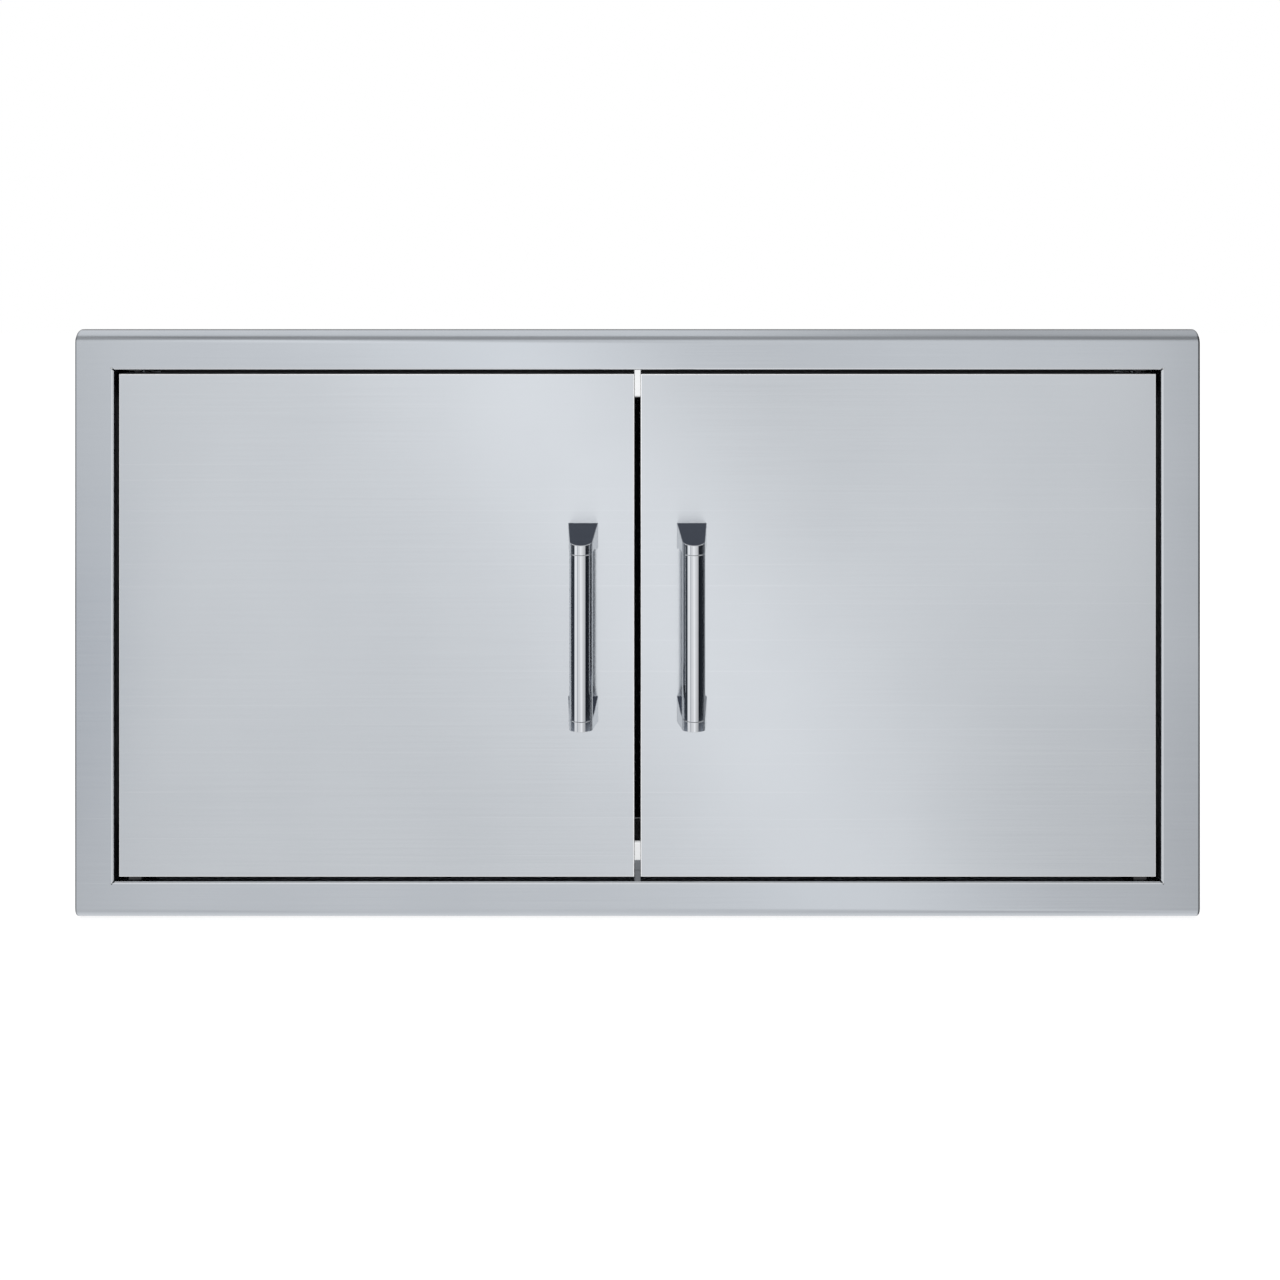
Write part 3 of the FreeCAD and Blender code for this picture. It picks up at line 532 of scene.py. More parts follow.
black_nylon = grained_finish(
    "black nylon", dark=(0.018, 0.018, 0.02), light=(0.032, 0.032, 0.035), worn=(0.07, 0.07, 0.075),
    rough=(0.35, 0.6), grit=2600.0, bump=0.2)
# Painted shade darkens the pins' ends, which stand in the dark gaps at the doors' top and bottom edges.
painted_pin_shade = (0.88, ("|z|", 237.2 * MM, 238.2 * MM))
turned_steel = sheet_finish(
    "turned steel", dark=(0.56, 0.57, 0.59), light=(0.66, 0.67, 0.69), rough=(0.16, 0.3),
    across=(0.02, 0.02, 1.0), lines=2400.0, bump=0.3, bands=(painted_pin_shade,))
for side in ("left", "right"):
    show_packed("upper_pivot_bush_" + side, black_nylon, "frame", "black_nylon", edge=0.25 * MM)
show_packed("lower_pivot_pins", turned_steel, "frame", "turned_steel", edge=0.1 * MM)

# Magnetic catches: a white moulded body pushed into each window of the top rail holds a pressed
# ferrite block between two zinc-plated pole plates.
white_plastic = grained_finish(
    "white moulding", dark=(0.66, 0.66, 0.63), light=(0.74, 0.74, 0.71), worn=(0.85, 0.85, 0.83),
    rough=(0.32, 0.5), grit=1900.0, bump=0.15)
zinc_plate = grained_finish(
    "zinc plate", dark=(0.50, 0.53, 0.57), light=(0.66, 0.67, 0.66), worn=(0.8, 0.8, 0.8),
    rough=(0.2, 0.42), grit=1300.0, bump=0.12, metal=1.0)
ferrite = grained_finish(
    "pressed ferrite", dark=(0.05, 0.05, 0.055), light=(0.10, 0.10, 0.105), worn=(0.2, 0.2, 0.2),
    rough=(0.5, 0.8), grit=1500.0, bump=0.6)
for side in ("left", "right"):
    show_packed("catch_body_" + side, white_plastic, "frame", "white_plastic", edge=0.4 * MM)
    show_packed("catch_poles_" + side, zinc_plate, "frame", "plated_steel", edge=0.15 * MM)
    show_packed("catch_magnet_" + side, ferrite, "frame", "ferrite", edge=0.3 * MM)

# Door bumpers: eight soft moulded rubber pads stuck on the stop rails, four for each door. Their
# faces are domed, and they touch the lips of a closing door before the rails do.
PAD_X = (30.9 * MM, 421.5 * MM)
PAD_Z = (234.4 * MM, -233.4 * MM)
PAD_WIDTH, PAD_HEIGHT = 14 * MM, 6 * MM
PAD_CREASE = 0.55
DOME_STRETCH = 1.25
pad_low, pad_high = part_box("door_bumpers")
pad_depth = pad_high.y - pad_low.y
black_rubber = grained_finish(
    "black rubber", dark=(0.016, 0.016, 0.016), light=(0.028, 0.028, 0.028), worn=(0.045, 0.045, 0.045),
    rough=(0.6, 0.85), grit=3200.0, bump=0.35)


def make_pads():
    """Domed pads with a flat back, one on each point."""
    tree, given, result = geometry_tree(
        "rubber pads", {"Size": "Vector", "Crease": "Float", "Back": "Float", "Finish": "Material"})
    block = node(tree, "GeometryNodeMeshCube", {"Size": given["Size"], "Vertices X": 4, "Vertices Y": 3,
                                                "Vertices Z": 3}).outputs[0]
    dome = node(tree, "GeometryNodeSubdivisionSurface",
                {0: block, "Level": 3, "Edge Crease": given["Crease"]})
    place = node(tree, "SeparateXYZ", {0: node(tree, "GeometryNodeInputPosition").outputs[0]}).outputs
    flat_y = maths(tree, "MINIMUM", maths(tree, "MULTIPLY", place[1], DOME_STRETCH), given["Back"])
    flat = node(tree, "CombineXYZ", {0: place[0], 1: flat_y, 2: place[2]}).outputs[0]
    pad = node(tree, "GeometryNodeSetPosition", {0: dome.outputs[0], "Position": flat}).outputs[0]
    pads = node(tree, "GeometryNodeInstanceOnPoints", {"Points": given["Points"], "Instance": pad})
    finish_tree(tree, pads.outputs[0], given["Finish"], result)
    return tree


pad_y = (pad_low.y + pad_high.y) / 2
pad_spots = [(sign * x, pad_y, z) for sign in (-1, 1) for x in PAD_X for z in PAD_Z]
pads = grown_mesh(make_pads(), {"Size": (PAD_WIDTH, pad_depth, PAD_HEIGHT), "Crease": PAD_CREASE,
                                "Back": pad_depth / 2, "Finish": black_rubber}, pad_spots)
show(pads, "rubber_pads", black_rubber, "frame", "black_rubber", "door_bumpers")

# Door skins: each is one brushed sheet, 1 mm thick, with four returns folded back and lips folded
# in. Painted shade darkens the returns, which face the dark gaps, and the outer bends get a painted
# highlight.
door_returns = (0.85, ("y", FACE_Y + 1.5 * MM, FACE_Y + 2.6 * MM), ("y", -0.5 * MM, -2.0 * MM))
door_steel = sheet_finish(
    "brushed door steel", dark=(0.565, 0.592, 0.628), light=(0.60, 0.628, 0.664), rough=(0.15, 0.20),
    across=(0.003, 1.0, 1.0), lines=2200.0, bump=0.05, streak=0.85, painted_bend_highlight=1.0,
    bands=(door_returns,))
for side in ("left", "right"):
    name = "door_skin_" + side
    skin = show(clean_copy(name), name + "_sheet", door_steel, side + "_door", "brushed_door", name)
    soften(skin, edge=0.12 * MM)


# Handles: a polished tube over the spigots of two polished castings, which taper from a wide foot
# on the door to a nose as round as the tube. Screws from inside the door pull the feet tight.
BUFFING_SHARE, HAZY = 0.3, 0.93
BUFFING_STRETCH = (1.0, 1.0, 0.02)
END_FACING = (0.9, 0.96)


def polished_finish(name, colour, rough, painted_dark_reflection=None):
    """Bright metal with faint haze and buffing lines; its sloped ends may get a painted dark
    reflection.
    """
    made, tree, shader = new_finish(name)
    place = node(tree, "TexCoord").outputs["Object"]
    haze = noise(tree, place, 90.0, detail=4.0)
    buffing = noise(tree, stretched(tree, place, BUFFING_STRETCH), 2600.0, detail=3.0)
    gloss = mixed(tree, buffing, BUFFING_SHARE, haze)
    tree.links.new(spread(tree, gloss, *rough), shader.inputs["Roughness"])
    base = blend_colours(tree, gloss, tuple(HAZY * part for part in colour), colour)
    if painted_dark_reflection:
        # Painted reflection: faces sloping up or down get a dark colour, as if they mirrored something
        # dark.
        slope = node(tree, "SeparateXYZ", {0: node(tree, "TexCoord").outputs["Normal"]}).outputs[2]
        sloped = step_between(tree, maths(tree, "ABSOLUTE", slope), *END_FACING)
        base = blend_colours(tree, sloped, base, painted_dark_reflection)
    tree.links.new(base, shader.inputs["Base Color"])
    shader.inputs["Metallic"].default_value = 1.0
    return made


def mesh_from(points, faces):
    """Smooth mesh with its faces turned outwards."""
    shape = bmesh.new()
    corners = [shape.verts.new(point) for point in points]
    for face in faces:
        shape.faces.new([corners[i] for i in face]).smooth = True
    bmesh.ops.recalc_face_normals(shape, faces=shape.faces)
    mesh = bpy.data.meshes.new("shape")
    shape.to_mesh(mesh)
    shape.free()
    return mesh


def turned_mesh(outline, centre, segments):
    """Turned part round an upright axis: outline is a closed list of radius and height."""
    rows = len(outline)
    turns = [2 * math.pi * k / segments for k in range(segments)]
    points = [(centre.x + r * math.cos(a), centre.y + r * math.sin(a), z)
              for a in turns for r, z in outline]
    faces = [(k * rows + i, (k + 1) % segments * rows + i, (k + 1) % segments * rows + (i + 1) % rows,
              k * rows + (i + 1) % rows) for k in range(segments) for i in range(rows)]
    return mesh_from(points, faces)


TUBE_WALL = 1.2 * MM
END_CHAMFER = 0.35 * MM
SEAM_GAP = 0.1 * MM
TUBE_SIDES = 96
END_SLOPE = math.tan(math.radians(12.2))
NOSE_STEPS = 28
FOOT_HEIGHT = 24.5 * MM


def tube_mesh(low, high):
    """Hollow bar with its ends broken by a fine chamfer."""
    centre, radius = (low + high) / 2, (high.x - low.x) / 2
    foot, top, bore = low.z + SEAM_GAP, high.z - SEAM_GAP, radius - TUBE_WALL
    outline = [(bore, top), (bore, foot), (radius - END_CHAMFER, foot), (radius, foot + END_CHAMFER),
               (radius, top - END_CHAMFER), (radius - END_CHAMFER, top)]
    return turned_mesh(outline, centre, TUBE_SIDES)


def mount_plan(half_foot, radius, tube_y):
    """Points round a mount seen from above, from its left foot over the nose to its right foot."""
    standoff = FACE_Y - tube_y
    to_axis = math.hypot(half_foot, standoff)
    lean = math.asin(radius / to_axis) - math.atan2(half_foot, standoff)
    tube_back = tube_y + radius
    left = [(-half_foot, FACE_Y), (-half_foot - (FACE_Y - tube_back) * math.tan(lean), tube_back)]
    start, sweep = math.pi - lean, math.pi + 2 * lean
    turns = [start + sweep * step / NOSE_STEPS for step in range(NOSE_STEPS + 1)]
    nose = [(radius * math.cos(a), tube_y + radius * math.sin(a)) for a in turns]
    return left + nose + [(-x, y) for x, y in reversed(left)]


def mount_mesh(tube_low, tube_high, mount_low, mount_high, end):
    """Cast mount: sloped end, straight flanks, a nose as round as the tube and a flared foot."""
    centre, radius = (tube_low + tube_high) / 2, (tube_high.x - tube_low.x) / 2
    seam = tube_high.z - centre.z
    outer = (mount_high.z - centre.z) if end == "upper" else (centre.z - mount_low.z)
    inner = outer - FOOT_HEIGHT
    tube_back = centre.y + radius
    plan = mount_plan((mount_high.x - mount_low.x) / 2, radius, centre.y)
    sloped = [(x, y, outer - (FACE_Y - y) * END_SLOPE) for x, y in plan]
    flared = [(x, y, seam + (inner - seam) * max(0.0, (y - tube_back) / (FACE_Y - tube_back)))
              for x, y in plan]
    count = len(plan)
    upright = 1 if end == "upper" else -1
    points = [(centre.x + x, y, centre.z + upright * z) for x, y, z in sloped + flared]
    faces = [(i, i + count, i + 1 + count, i + 1) for i in range(count - 1)]
    faces += [(0, count - 1, 2 * count - 1, count), tuple(range(count)),
              tuple(range(count + 1, 2 * count - 1)), (count, 2 * count - 1, 2 * count - 2, count + 1)]
    return mesh_from(points, faces)


STEEL = (0.66, 0.68, 0.71)
bright_tube = polished_finish("polished tube", STEEL, rough=(0.03, 0.06))
bright_casting = polished_finish("polished casting", STEEL, rough=(0.04, 0.09),
                                 painted_dark_reflection=(0.144, 0.163, 0.208))
for side in ("left", "right"):
    body = side + "_door"
    tube_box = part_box("handle_tube_" + side)
    tube = show(tube_mesh(*tube_box), "handle_bar_" + side, bright_tube, body, "polished_steel",
                "handle_tube_" + side)
    soften(tube, edge=0.08 * MM)
    for end in ("upper", "lower"):
        name = f"handle_mount_{end}_{side}"
        casting = mount_mesh(*tube_box, *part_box(name), end)
        mount = show(casting, f"handle_foot_{end}_{side}", bright_casting, body, "polished_casting",
                     name)
        soften(mount, edge=0.5 * MM)
    show_packed("handle_screws_" + side, zinc_plate, body, "plated_steel", edge=0.2 * MM)

# Hinge parts inside each door: a folded bracket welded to the skin guides the sliding pin, a coil
# spring on the bracket lifts it, and a nylon bush in the bottom edge turns on the lower stud.
SPRING_TURNS = 9.0
SPRING_WIRE = 0.45 * MM
END_CLOSING = 0.72
TURN_STEPS, WIRE_SIDES = 36, 10


def make_coil():
    """Compression spring: wire along a helix whose end turns close up."""
    tree, given, result = geometry_tree(
        "coil", {"Foot": "Vector", "Radius": "Float", "Wire": "Float", "Height": "Float",
                 "Turns": "Float", "Closing": "Float", "Finish": "Material"})
    helix = node(tree, "GeometryNodeCurveSpiral", {
        "Resolution": TURN_STEPS, "Rotations": given["Turns"], "Start Radius": given["Radius"],
        "End Radius": given["Radius"], "Height": given["Height"]}).outputs[0]
    along = node(tree, "GeometryNodeSplineParameter").outputs["Factor"]
    wave = maths(tree, "SINE", maths(tree, "MULTIPLY", along, 2 * math.pi))
    lift = maths(tree, "MULTIPLY", wave, maths(tree, "MULTIPLY", given["Height"], -1 / (2 * math.pi)))
    lift = node(tree, "CombineXYZ", {2: maths(tree, "MULTIPLY", lift, given["Closing"])}).outputs[0]
    closed = node(tree, "GeometryNodeSetPosition", {0: helix, "Offset": lift}).outputs[0]
    section = node(tree, "GeometryNodeCurvePrimitiveCircle",
                   {"Resolution": WIRE_SIDES, "Radius": given["Wire"]})
    wire = node(tree, "GeometryNodeCurveToMesh", {0: closed, 1: section.outputs[0], "Fill Caps": True})
    placed = moved(tree, wire.outputs[0], given["Foot"])
    finish_tree(tree, placed, given["Finish"], result)
    return tree


COIL = make_coil()
spring_wire = grained_finish(
    "drawn spring wire", dark=(0.30, 0.30, 0.31), light=(0.42, 0.42, 0.43), worn=(0.6, 0.6, 0.6),
    rough=(0.22, 0.4), grit=1800.0, bump=0.2, metal=1.0)
for side in ("left", "right"):
    body = side + "_door"
    show_packed("pin_bracket_" + side, level_steel, body, "folded_sheet", edge=0.1 * MM)
    show_packed("lower_bush_" + side, black_nylon, body, "black_nylon", edge=0.25 * MM)
    low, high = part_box("pin_spring_" + side)
    middle = (low + high) / 2
    coil = grown_mesh(COIL, {
        "Foot": (middle.x, middle.y, low.z + SPRING_WIRE), "Radius": (high.x - low.x) / 2 - SPRING_WIRE,
        "Wire": SPRING_WIRE, "Height": high.z - low.z - 2 * SPRING_WIRE, "Turns": SPRING_TURNS,
        "Closing": END_CLOSING, "Finish": spring_wire})
    spring = show(coil, "pin_coil_" + side, spring_wire, body, "spring_steel", "pin_spring_" + side)
    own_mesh(spring)

# Door liners: a flat back sheet with folded edges closes each door inside the skin's lips, and a
# ring of spot welds through the lips holds it.
DOOR_LIP = 9 * MM
# The liner's bends get a painted highlight, fainter than the doors'.
liner_steel = sheet_finish(
    "brushed liner steel", dark=(0.52, 0.54, 0.57), light=(0.58, 0.60, 0.63), rough=(0.22, 0.30),
    across=(0.004, 1.0, 1.0), lines=1500.0, bump=0.03, streak=0.6, painted_bend_highlight=0.4)
for side in ("left", "right"):
    body = side + "_door"
    name = "door_liner_" + side
    liner = show(clean_copy(name), name + "_sheet", liner_steel, body, "brushed_liner", name)
    soften(liner, edge=0.12 * MM)
    low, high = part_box("door_skin_" + side)
    lip_middle = ((low.x + high.x) / 2, high.y, (low.z + high.z) / 2)
    lip_welds = grown_mesh(WELD_RING, {
        "Middle": lip_middle, "Width": high.x - low.x - DOOR_LIP, "Height": high.z - low.z - DOOR_LIP,
        "Step": WELD_STEP, "Radius": WELD_RADIUS, "Rise": WELD_RISE, "Finish": heat_tint})
    show(lip_welds, "lip_weld_prints_" + side, heat_tint, body, "brushed_liner")

# Strike plates: flat plates of zinc-plated steel, spot-welded to each liner's back where the poles
# of the catch meet it.
for side in ("left", "right"):
    show_packed("strike_plate_" + side, zinc_plate, side + "_door", "plated_steel", edge=0.3 * MM)

# Sliding hinge pins: a turned pin with a chamfered tip, and a plated tab fixed on it that comes out
# through the liner. Five raised ribs across the tab's finger pad give grip.
RIB_COUNT, RIB_WIDTH, RIB_RADIUS, RIB_SIDES = 5, 7.4 * MM, 0.35 * MM, 12


def make_ribs():
    """Level half-round ribs, one above the other."""
    tree, given, result = geometry_tree(
        "grip ribs", {"Lowest": "Vector", "Gap": "Vector", "Count": "Int", "Width": "Float",
                      "Radius": "Float", "Finish": "Material"})
    places = node(tree, "GeometryNodeMeshLine",
                  {"Count": given["Count"], "Start Location": given["Lowest"],
                   "Offset": given["Gap"]}).outputs[0]
    bar = node(tree, "GeometryNodeMeshCylinder",
               {"Vertices": RIB_SIDES, "Radius": given["Radius"], "Depth": given["Width"]},
               fill_type="NGON").outputs[0]
    level = moved(tree, bar, turn=(0, QUARTER, 0))
    ribs = node(tree, "GeometryNodeInstanceOnPoints", {"Points": places, "Instance": level}).outputs[0]
    finish_tree(tree, ribs, given["Finish"], result)
    return tree


RIBS = make_ribs()
for side in ("left", "right"):
    body = side + "_pin"
    show_packed("pivot_pin_" + side, turned_steel, body, "turned_steel", edge=0.1 * MM)
    show_packed("release_tab_" + side, zinc_plate, body, "plated_steel", edge=0.3 * MM)
    low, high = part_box("release_tab_" + side)
    rib_gap = (high.z - low.z) / (RIB_COUNT + 1)
    ribs = grown_mesh(RIBS, {"Lowest": ((low.x + high.x) / 2, high.y, low.z + rib_gap),
                             "Gap": (0, 0, rib_gap), "Count": RIB_COUNT, "Width": RIB_WIDTH,
                             "Radius": RIB_RADIUS, "Finish": zinc_plate})
    show(ribs, "tab_ribs_" + side, zinc_plate, body, "plated_steel")

# Studio: a pale floor under the part, a dark panel behind the opening, and a dark shelf behind it
# that only the steel facing up mirrors. Panel and shelf are painted shade for the dark inside of the
# island. Soft lamps and a white room light the part.
FLOOR_Z = cad_low.z - 0.2 * MM
FLOOR_REACH = 9.0
MATTE, SHADED, FLOOR_GLOW = 0.82, 0.32, 0.84


def flat_panel(name, corner, first, second, finish):
    """Flat piece of the studio from a corner and two edges; the order of the edges sets the way it
    faces.
    """
    corner, first, second = Vector(corner), Vector(first), Vector(second)
    corners = [corner, corner + first, corner + first + second, corner + second]
    mesh = bpy.data.meshes.new(name)
    mesh.from_pydata(corners, [], [(0, 1, 2, 3)])
    mesh.materials.append(finish)
    panel = bpy.data.objects.new(name, mesh)
    bpy.context.scene.collection.objects.link(panel)


def floor_finish():
    """Pale floor: keeps the shadow, shows white to the camera, and lets metal see past it."""
    made, tree, shader = new_finish("pale floor")
    tree.nodes.remove(shader)
    rays = node(tree, "LightPath").outputs
    matte = node(tree, "BsdfDiffuse", {"Color": (MATTE, MATTE, MATTE, 1)}).outputs[0]
    shaded = node(tree, "BsdfDiffuse", {"Color": (SHADED, SHADED, SHADED, 1)}).outputs[0]
    glow = node(tree, "Emission", {"Color": (1, 1, 1, 1), "Strength": FLOOR_GLOW}).outputs[0]
    pale = node(tree, "AddShader", {0: shaded, 1: glow}).outputs[0]
    seen = node(tree, "MixShader", {0: rays["Is Camera Ray"], 1: matte, 2: pale})
    clear = node(tree, "BsdfTransparent").outputs[0]
    finish = node(tree, "MixShader", {0: rays["Is Glossy Ray"], 1: seen.outputs[0], 2: clear})
    tree.links.new(finish.outputs[0], tree.nodes["Material Output"].inputs["Surface"])
    return made


FAR, FAR_SHARE = 85 * MM, 0.8


def camera_and_far(tree, rays):
    """The camera sees it, and so does a reflection that starts farther away."""
    from_afar = maths(tree, "MULTIPLY", maths(tree, "GREATER_THAN", rays["Ray Length"], FAR), FAR_SHARE)
    return maths(tree, "MAXIMUM", rays["Is Camera Ray"], from_afar)


def reflections_only(tree, rays):
    """Only shiny metal sees it."""
    return rays["Is Glossy Ray"]


# Near-black colours of the painted shade inside the island.
INSIDE_DARK, INSIDE_PALE = (0.001, 0.001, 0.001), (0.003, 0.003, 0.004)
INSIDE_ROUGH, INSIDE_GLOSS = 0.9, 0.1


def cabinet_finish(name, seen_by):
    """Painted shade of the island's inside: near black, seen from its front only, and only by some
    kinds of ray.
    """
    made, tree, shader = new_finish(name)
    mottle = noise(tree, node(tree, "TexCoord").outputs["Object"], 12.0)
    tree.links.new(blend_colours(tree, mottle, INSIDE_DARK, INSIDE_PALE), shader.inputs["Base Color"])
    shader.inputs["Roughness"].default_value = INSIDE_ROUGH
    shader.inputs["Specular IOR Level"].default_value = INSIDE_GLOSS
    front = maths(tree, "SUBTRACT", 1.0, node(tree, "NewGeometry").outputs["Backfacing"])
    seen = maths(tree, "MULTIPLY", seen_by(tree, node(tree, "LightPath").outputs), front)
    clear = node(tree, "BsdfTransparent").outputs[0]
    finish = node(tree, "MixShader", {0: seen, 1: clear, 2: shader.outputs[0]})
    tree.links.new(finish.outputs[0], tree.nodes["Material Output"].inputs["Surface"])
    return made


CABINET_WIDTH, CABINET_HEIGHT = 0.995, 0.487
CABINET_Y = cad_high.y + 0.5 * MM
SHELF_Z, SHELF_END = -0.15, 0.45
flat_panel("floor", (-FLOOR_REACH, -FLOOR_REACH, FLOOR_Z), (2 * FLOOR_REACH, 0, 0),
           (0, 2 * FLOOR_REACH, 0), floor_finish())
flat_panel("cabinet", (-CABINET_WIDTH / 2, CABINET_Y, -CABINET_HEIGHT / 2), (CABINET_WIDTH, 0, 0),
           (0, 0, CABINET_HEIGHT), cabinet_finish("cabinet shade panel", camera_and_far))
flat_panel("shelf", (-CABINET_WIDTH / 2, CABINET_Y, SHELF_Z), (0, SHELF_END - CABINET_Y, 0),
           (CABINET_WIDTH, 0, 0), cabinet_finish("shelf shade panel", reflections_only))


def window(tree, value, low, high, soft):
    """Soft-edged mask of a range."""
    rise = step_between(tree, value, low - soft, low + soft)
    fall = step_between(tree, value, high + soft, high - soft)
    return maths(tree, "MULTIPLY", rise, fall)


def degrees(tree, operation, *values):
    """Angle in degrees from an inverse trigonometric node."""
    return maths(tree, "MULTIPLY", maths(tree, operation, *values), 180 / math.pi)


def strips(tree, angle, *wanted):
    """Soft-edged strips along an angle, each with its two ends, softness and darkness."""
    total = 0.0
    for low, high, soft, darkness in wanted:
        total = maths(tree, "MULTIPLY_ADD", window(tree, angle, low, high, soft), darkness, total)
    return total


def ridge(tree, value, sharpness):
    """Soft ridge where a value is 0."""
    squared = maths(tree, "POWER", value, 2.0)
    return maths(tree, "EXPONENT", maths(tree, "MULTIPLY", squared, -sharpness))


RIGHT_CARD = (45.0, 130.0, 2.0, 0.97)
LEFT_CARD = (-130.0, -66.0, 3.0, 0.95)
GREY_CARD = (-37.0, -26.0, 1.5, 0.16)
WHITE_CARD = (-59.0, -40.0, 1.5, -0.45)
CARD_RISE = (-24.0, -13.0, 1.0)
FRONT_CEILING = (26.0, 60.0, 4.0, 0.55)
REAR_CEILING = (150.0, 178.0, 3.0, 0.65)
RIGHT_CEILING = (64.0, 146.0, 6.0, 0.3)
TO_THE_RIGHT = (0.0, 0.3)


def dark_parts(tree, way, ahead):
    """Side cards round the part, and the same with the dark strips of the ceiling added."""
    turn = degrees(tree, "ARCTAN2", way[0], ahead)
    rise = degrees(tree, "ARCSINE", way[2])
    over = degrees(tree, "ARCTAN2", way[2], ahead)
    cards = strips(tree, turn, RIGHT_CARD, LEFT_CARD, GREY_CARD, WHITE_CARD)
    cards = maths(tree, "MULTIPLY", cards, window(tree, rise, *CARD_RISE))
    ceiling = strips(tree, over, FRONT_CEILING, REAR_CEILING)
    right_ceiling = maths(tree, "MULTIPLY", strips(tree, over, RIGHT_CEILING),
                          step_between(tree, way[0], *TO_THE_RIGHT))
    return cards, maths(tree, "ADD", maths(tree, "ADD", cards, right_ceiling), ceiling)


ROOM = 0.97
NEAREST = 0.1
WALL_AHEAD = (0.1, 0.5)
BAND_SIDE, BAND_DROP, BAND_PLACE = 0.851, 0.526, 0.14
BRIGHT_BAND, BRIGHT_SHARPNESS = 0.27, 80.0
DARK_BAND, DARK_SHARPNESS, DARK_PLACE, DARK_FOOT = -0.12, 160.0, 0.17, (-0.3, -0.12)
LOW_WALL, LOW_FROM = -0.09, (-0.34, -0.58)
FAR_WALL, FAR_FROM, FAR_LEAN = -0.12, (0.3, 0.62), 0.2
EDGE_WALLS, EDGES_FROM = -0.11, (0.48, 0.54)


def room_glow(tree, way, ahead):
    """Brightness of the room. The wall ahead has a slanted bright band with a darker one beside it,
    and is duller low down and far out."""
    near_ahead = maths(tree, "MAXIMUM", ahead, NEAREST)
    side = maths(tree, "DIVIDE", way[0], near_ahead)
    drop = maths(tree, "DIVIDE", way[2], near_ahead)
    across = maths(tree, "MULTIPLY_ADD", side, BAND_SIDE,
                   maths(tree, "MULTIPLY_ADD", drop, BAND_DROP, BAND_PLACE))
    bright_band = ridge(tree, across, BRIGHT_SHARPNESS)
    dark_band = ridge(tree, maths(tree, "SUBTRACT", across, DARK_PLACE), DARK_SHARPNESS)
    dark_band = maths(tree, "MULTIPLY", dark_band, step_between(tree, drop, *DARK_FOOT))
    low = step_between(tree, drop, *LOW_FROM)
    far = step_between(tree, maths(tree, "MULTIPLY_ADD", low, FAR_LEAN, side), *FAR_FROM)
    edges = step_between(tree, maths(tree, "ABSOLUTE", side), *EDGES_FROM)
    glow = ROOM
    for part, amount in ((bright_band, BRIGHT_BAND), (dark_band, DARK_BAND), (edges, EDGE_WALLS),
                         (far, FAR_WALL), (low, LOW_WALL)):
        glow = maths(tree, "MULTIPLY_ADD", part, amount, glow)
    front = step_between(tree, ahead, *WALL_AHEAD)
    return maths(tree, "MULTIPLY_ADD", maths(tree, "SUBTRACT", glow, ROOM), front, ROOM)


MATTE_LIGHT = 0.65
WHITE, CARD_BLUE = (1.0, 1.0, 1.0), (0.74, 0.88, 1.12)


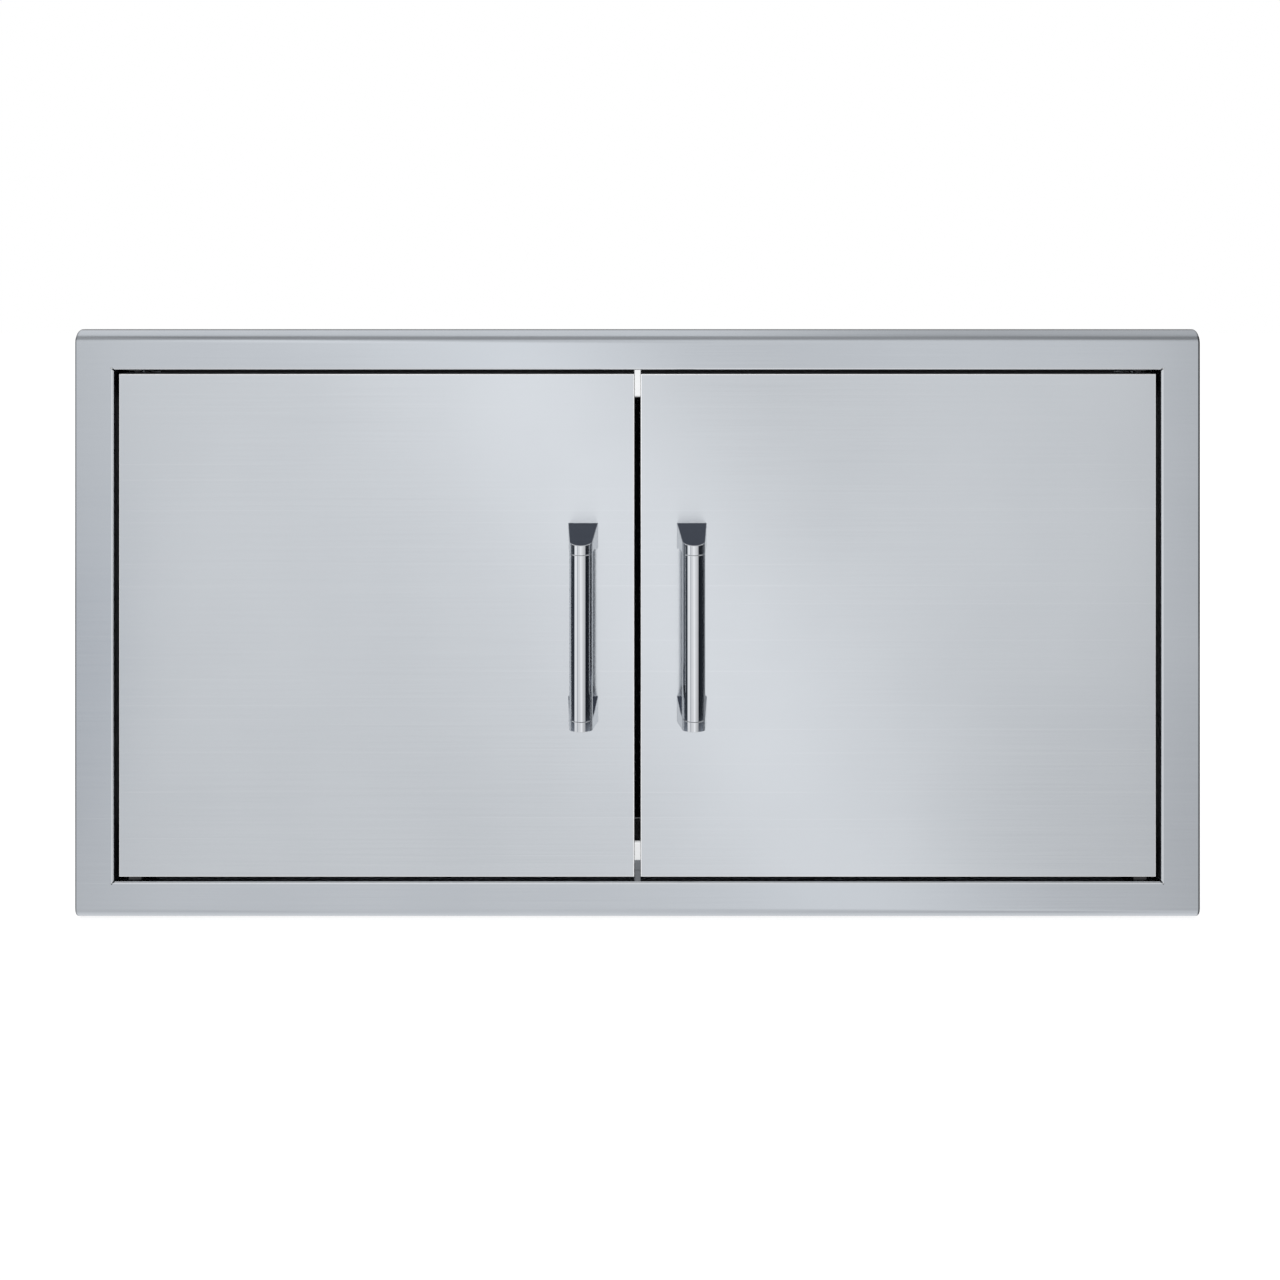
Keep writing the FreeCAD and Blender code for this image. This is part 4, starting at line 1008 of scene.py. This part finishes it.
def build_studio_light():
    """World: plain white to the camera and to matt pieces, and a shaped room to shiny metal."""
    world = bpy.data.worlds.new("studio")
    bpy.context.scene.world = world
    world.use_nodes = True
    tree = world.node_tree
    sky = tree.nodes["Background"]
    way = node(tree, "SeparateXYZ", {0: node(tree, "TexCoord").outputs["Generated"]}).outputs
    ahead = maths(tree, "MULTIPLY", way[1], -1.0)
    cards, dark = dark_parts(tree, way, ahead)
    seen = maths(tree, "MULTIPLY", room_glow(tree, way, ahead), maths(tree, "SUBTRACT", 1.0, dark))
    rays = node(tree, "LightPath").outputs
    shiny = maths(tree, "MAXIMUM", rays["Is Glossy Ray"], rays["Is Transmission Ray"])
    plain = maths(tree, "MULTIPLY_ADD", rays["Is Camera Ray"], 1.0 - MATTE_LIGHT, MATTE_LIGHT)
    strength = maths(tree, "ADD", maths(tree, "MULTIPLY", shiny, seen),
                     maths(tree, "MULTIPLY", maths(tree, "SUBTRACT", 1.0, shiny), plain))
    tree.links.new(strength, sky.inputs["Strength"])
    tint = blend_colours(tree, maths(tree, "MULTIPLY", cards, shiny), WHITE, CARD_BLUE)
    tree.links.new(tint, sky.inputs["Color"])
    world.cycles.sampling_method = "NONE"


build_studio_light()


def soft_lamp(name, place, size, power):
    """Large soft lamp aimed at the middle of the opening, which draws no spot on polished metal."""
    data = bpy.data.lights.new(name, "AREA")
    data.shape = "RECTANGLE"
    data.size, data.size_y = size
    data.energy = power
    lamp = bpy.data.objects.new(name, data)
    lamp.location = place
    lamp.rotation_euler = (-Vector(place)).to_track_quat("-Z", "Y").to_euler()
    lamp.visible_glossy = False
    bpy.context.scene.collection.objects.link(lamp)


soft_lamp("key lamp", place=(-1.9, -1.6, 3.2), size=(2.0, 2.0), power=13.0)
soft_lamp("fill lamp", place=(2.2, 0.2, 2.6), size=(1.8, 1.8), power=8.0)
soft_lamp("rear lamp", place=(-0.4, 2.6, 2.4), size=(2.0, 1.6), power=9.0)

# Camera: a shift lens looks straight at the doors from a little above their top edge, which keeps
# level and upright lines straight. Each pixel of the picture is one PIXEL wide on the face.
CAMERA_SIDE, CAMERA_DISTANCE, CAMERA_RISE = 0.0024, 1.0, 0.3385
LENS_SHIFT = -0.29
SENSOR_WIDTH = 36.0
PICTURE_PIXELS, PIXEL = 1280, 0.9476 * MM
camera_data = bpy.data.cameras.new("camera")
camera_data.sensor_width = SENSOR_WIDTH
camera_data.lens = SENSOR_WIDTH * CAMERA_DISTANCE / PIXEL / PICTURE_PIXELS
camera_data.shift_y = LENS_SHIFT
camera = bpy.data.objects.new("camera", camera_data)
camera.location = (CAMERA_SIDE, FACE_Y - CAMERA_DISTANCE, CAMERA_RISE)
camera.rotation_euler = (QUARTER, 0, 0)
bpy.context.scene.collection.objects.link(camera)
bpy.context.scene.camera = camera
bpy.context.scene.view_settings.view_transform = "Standard"
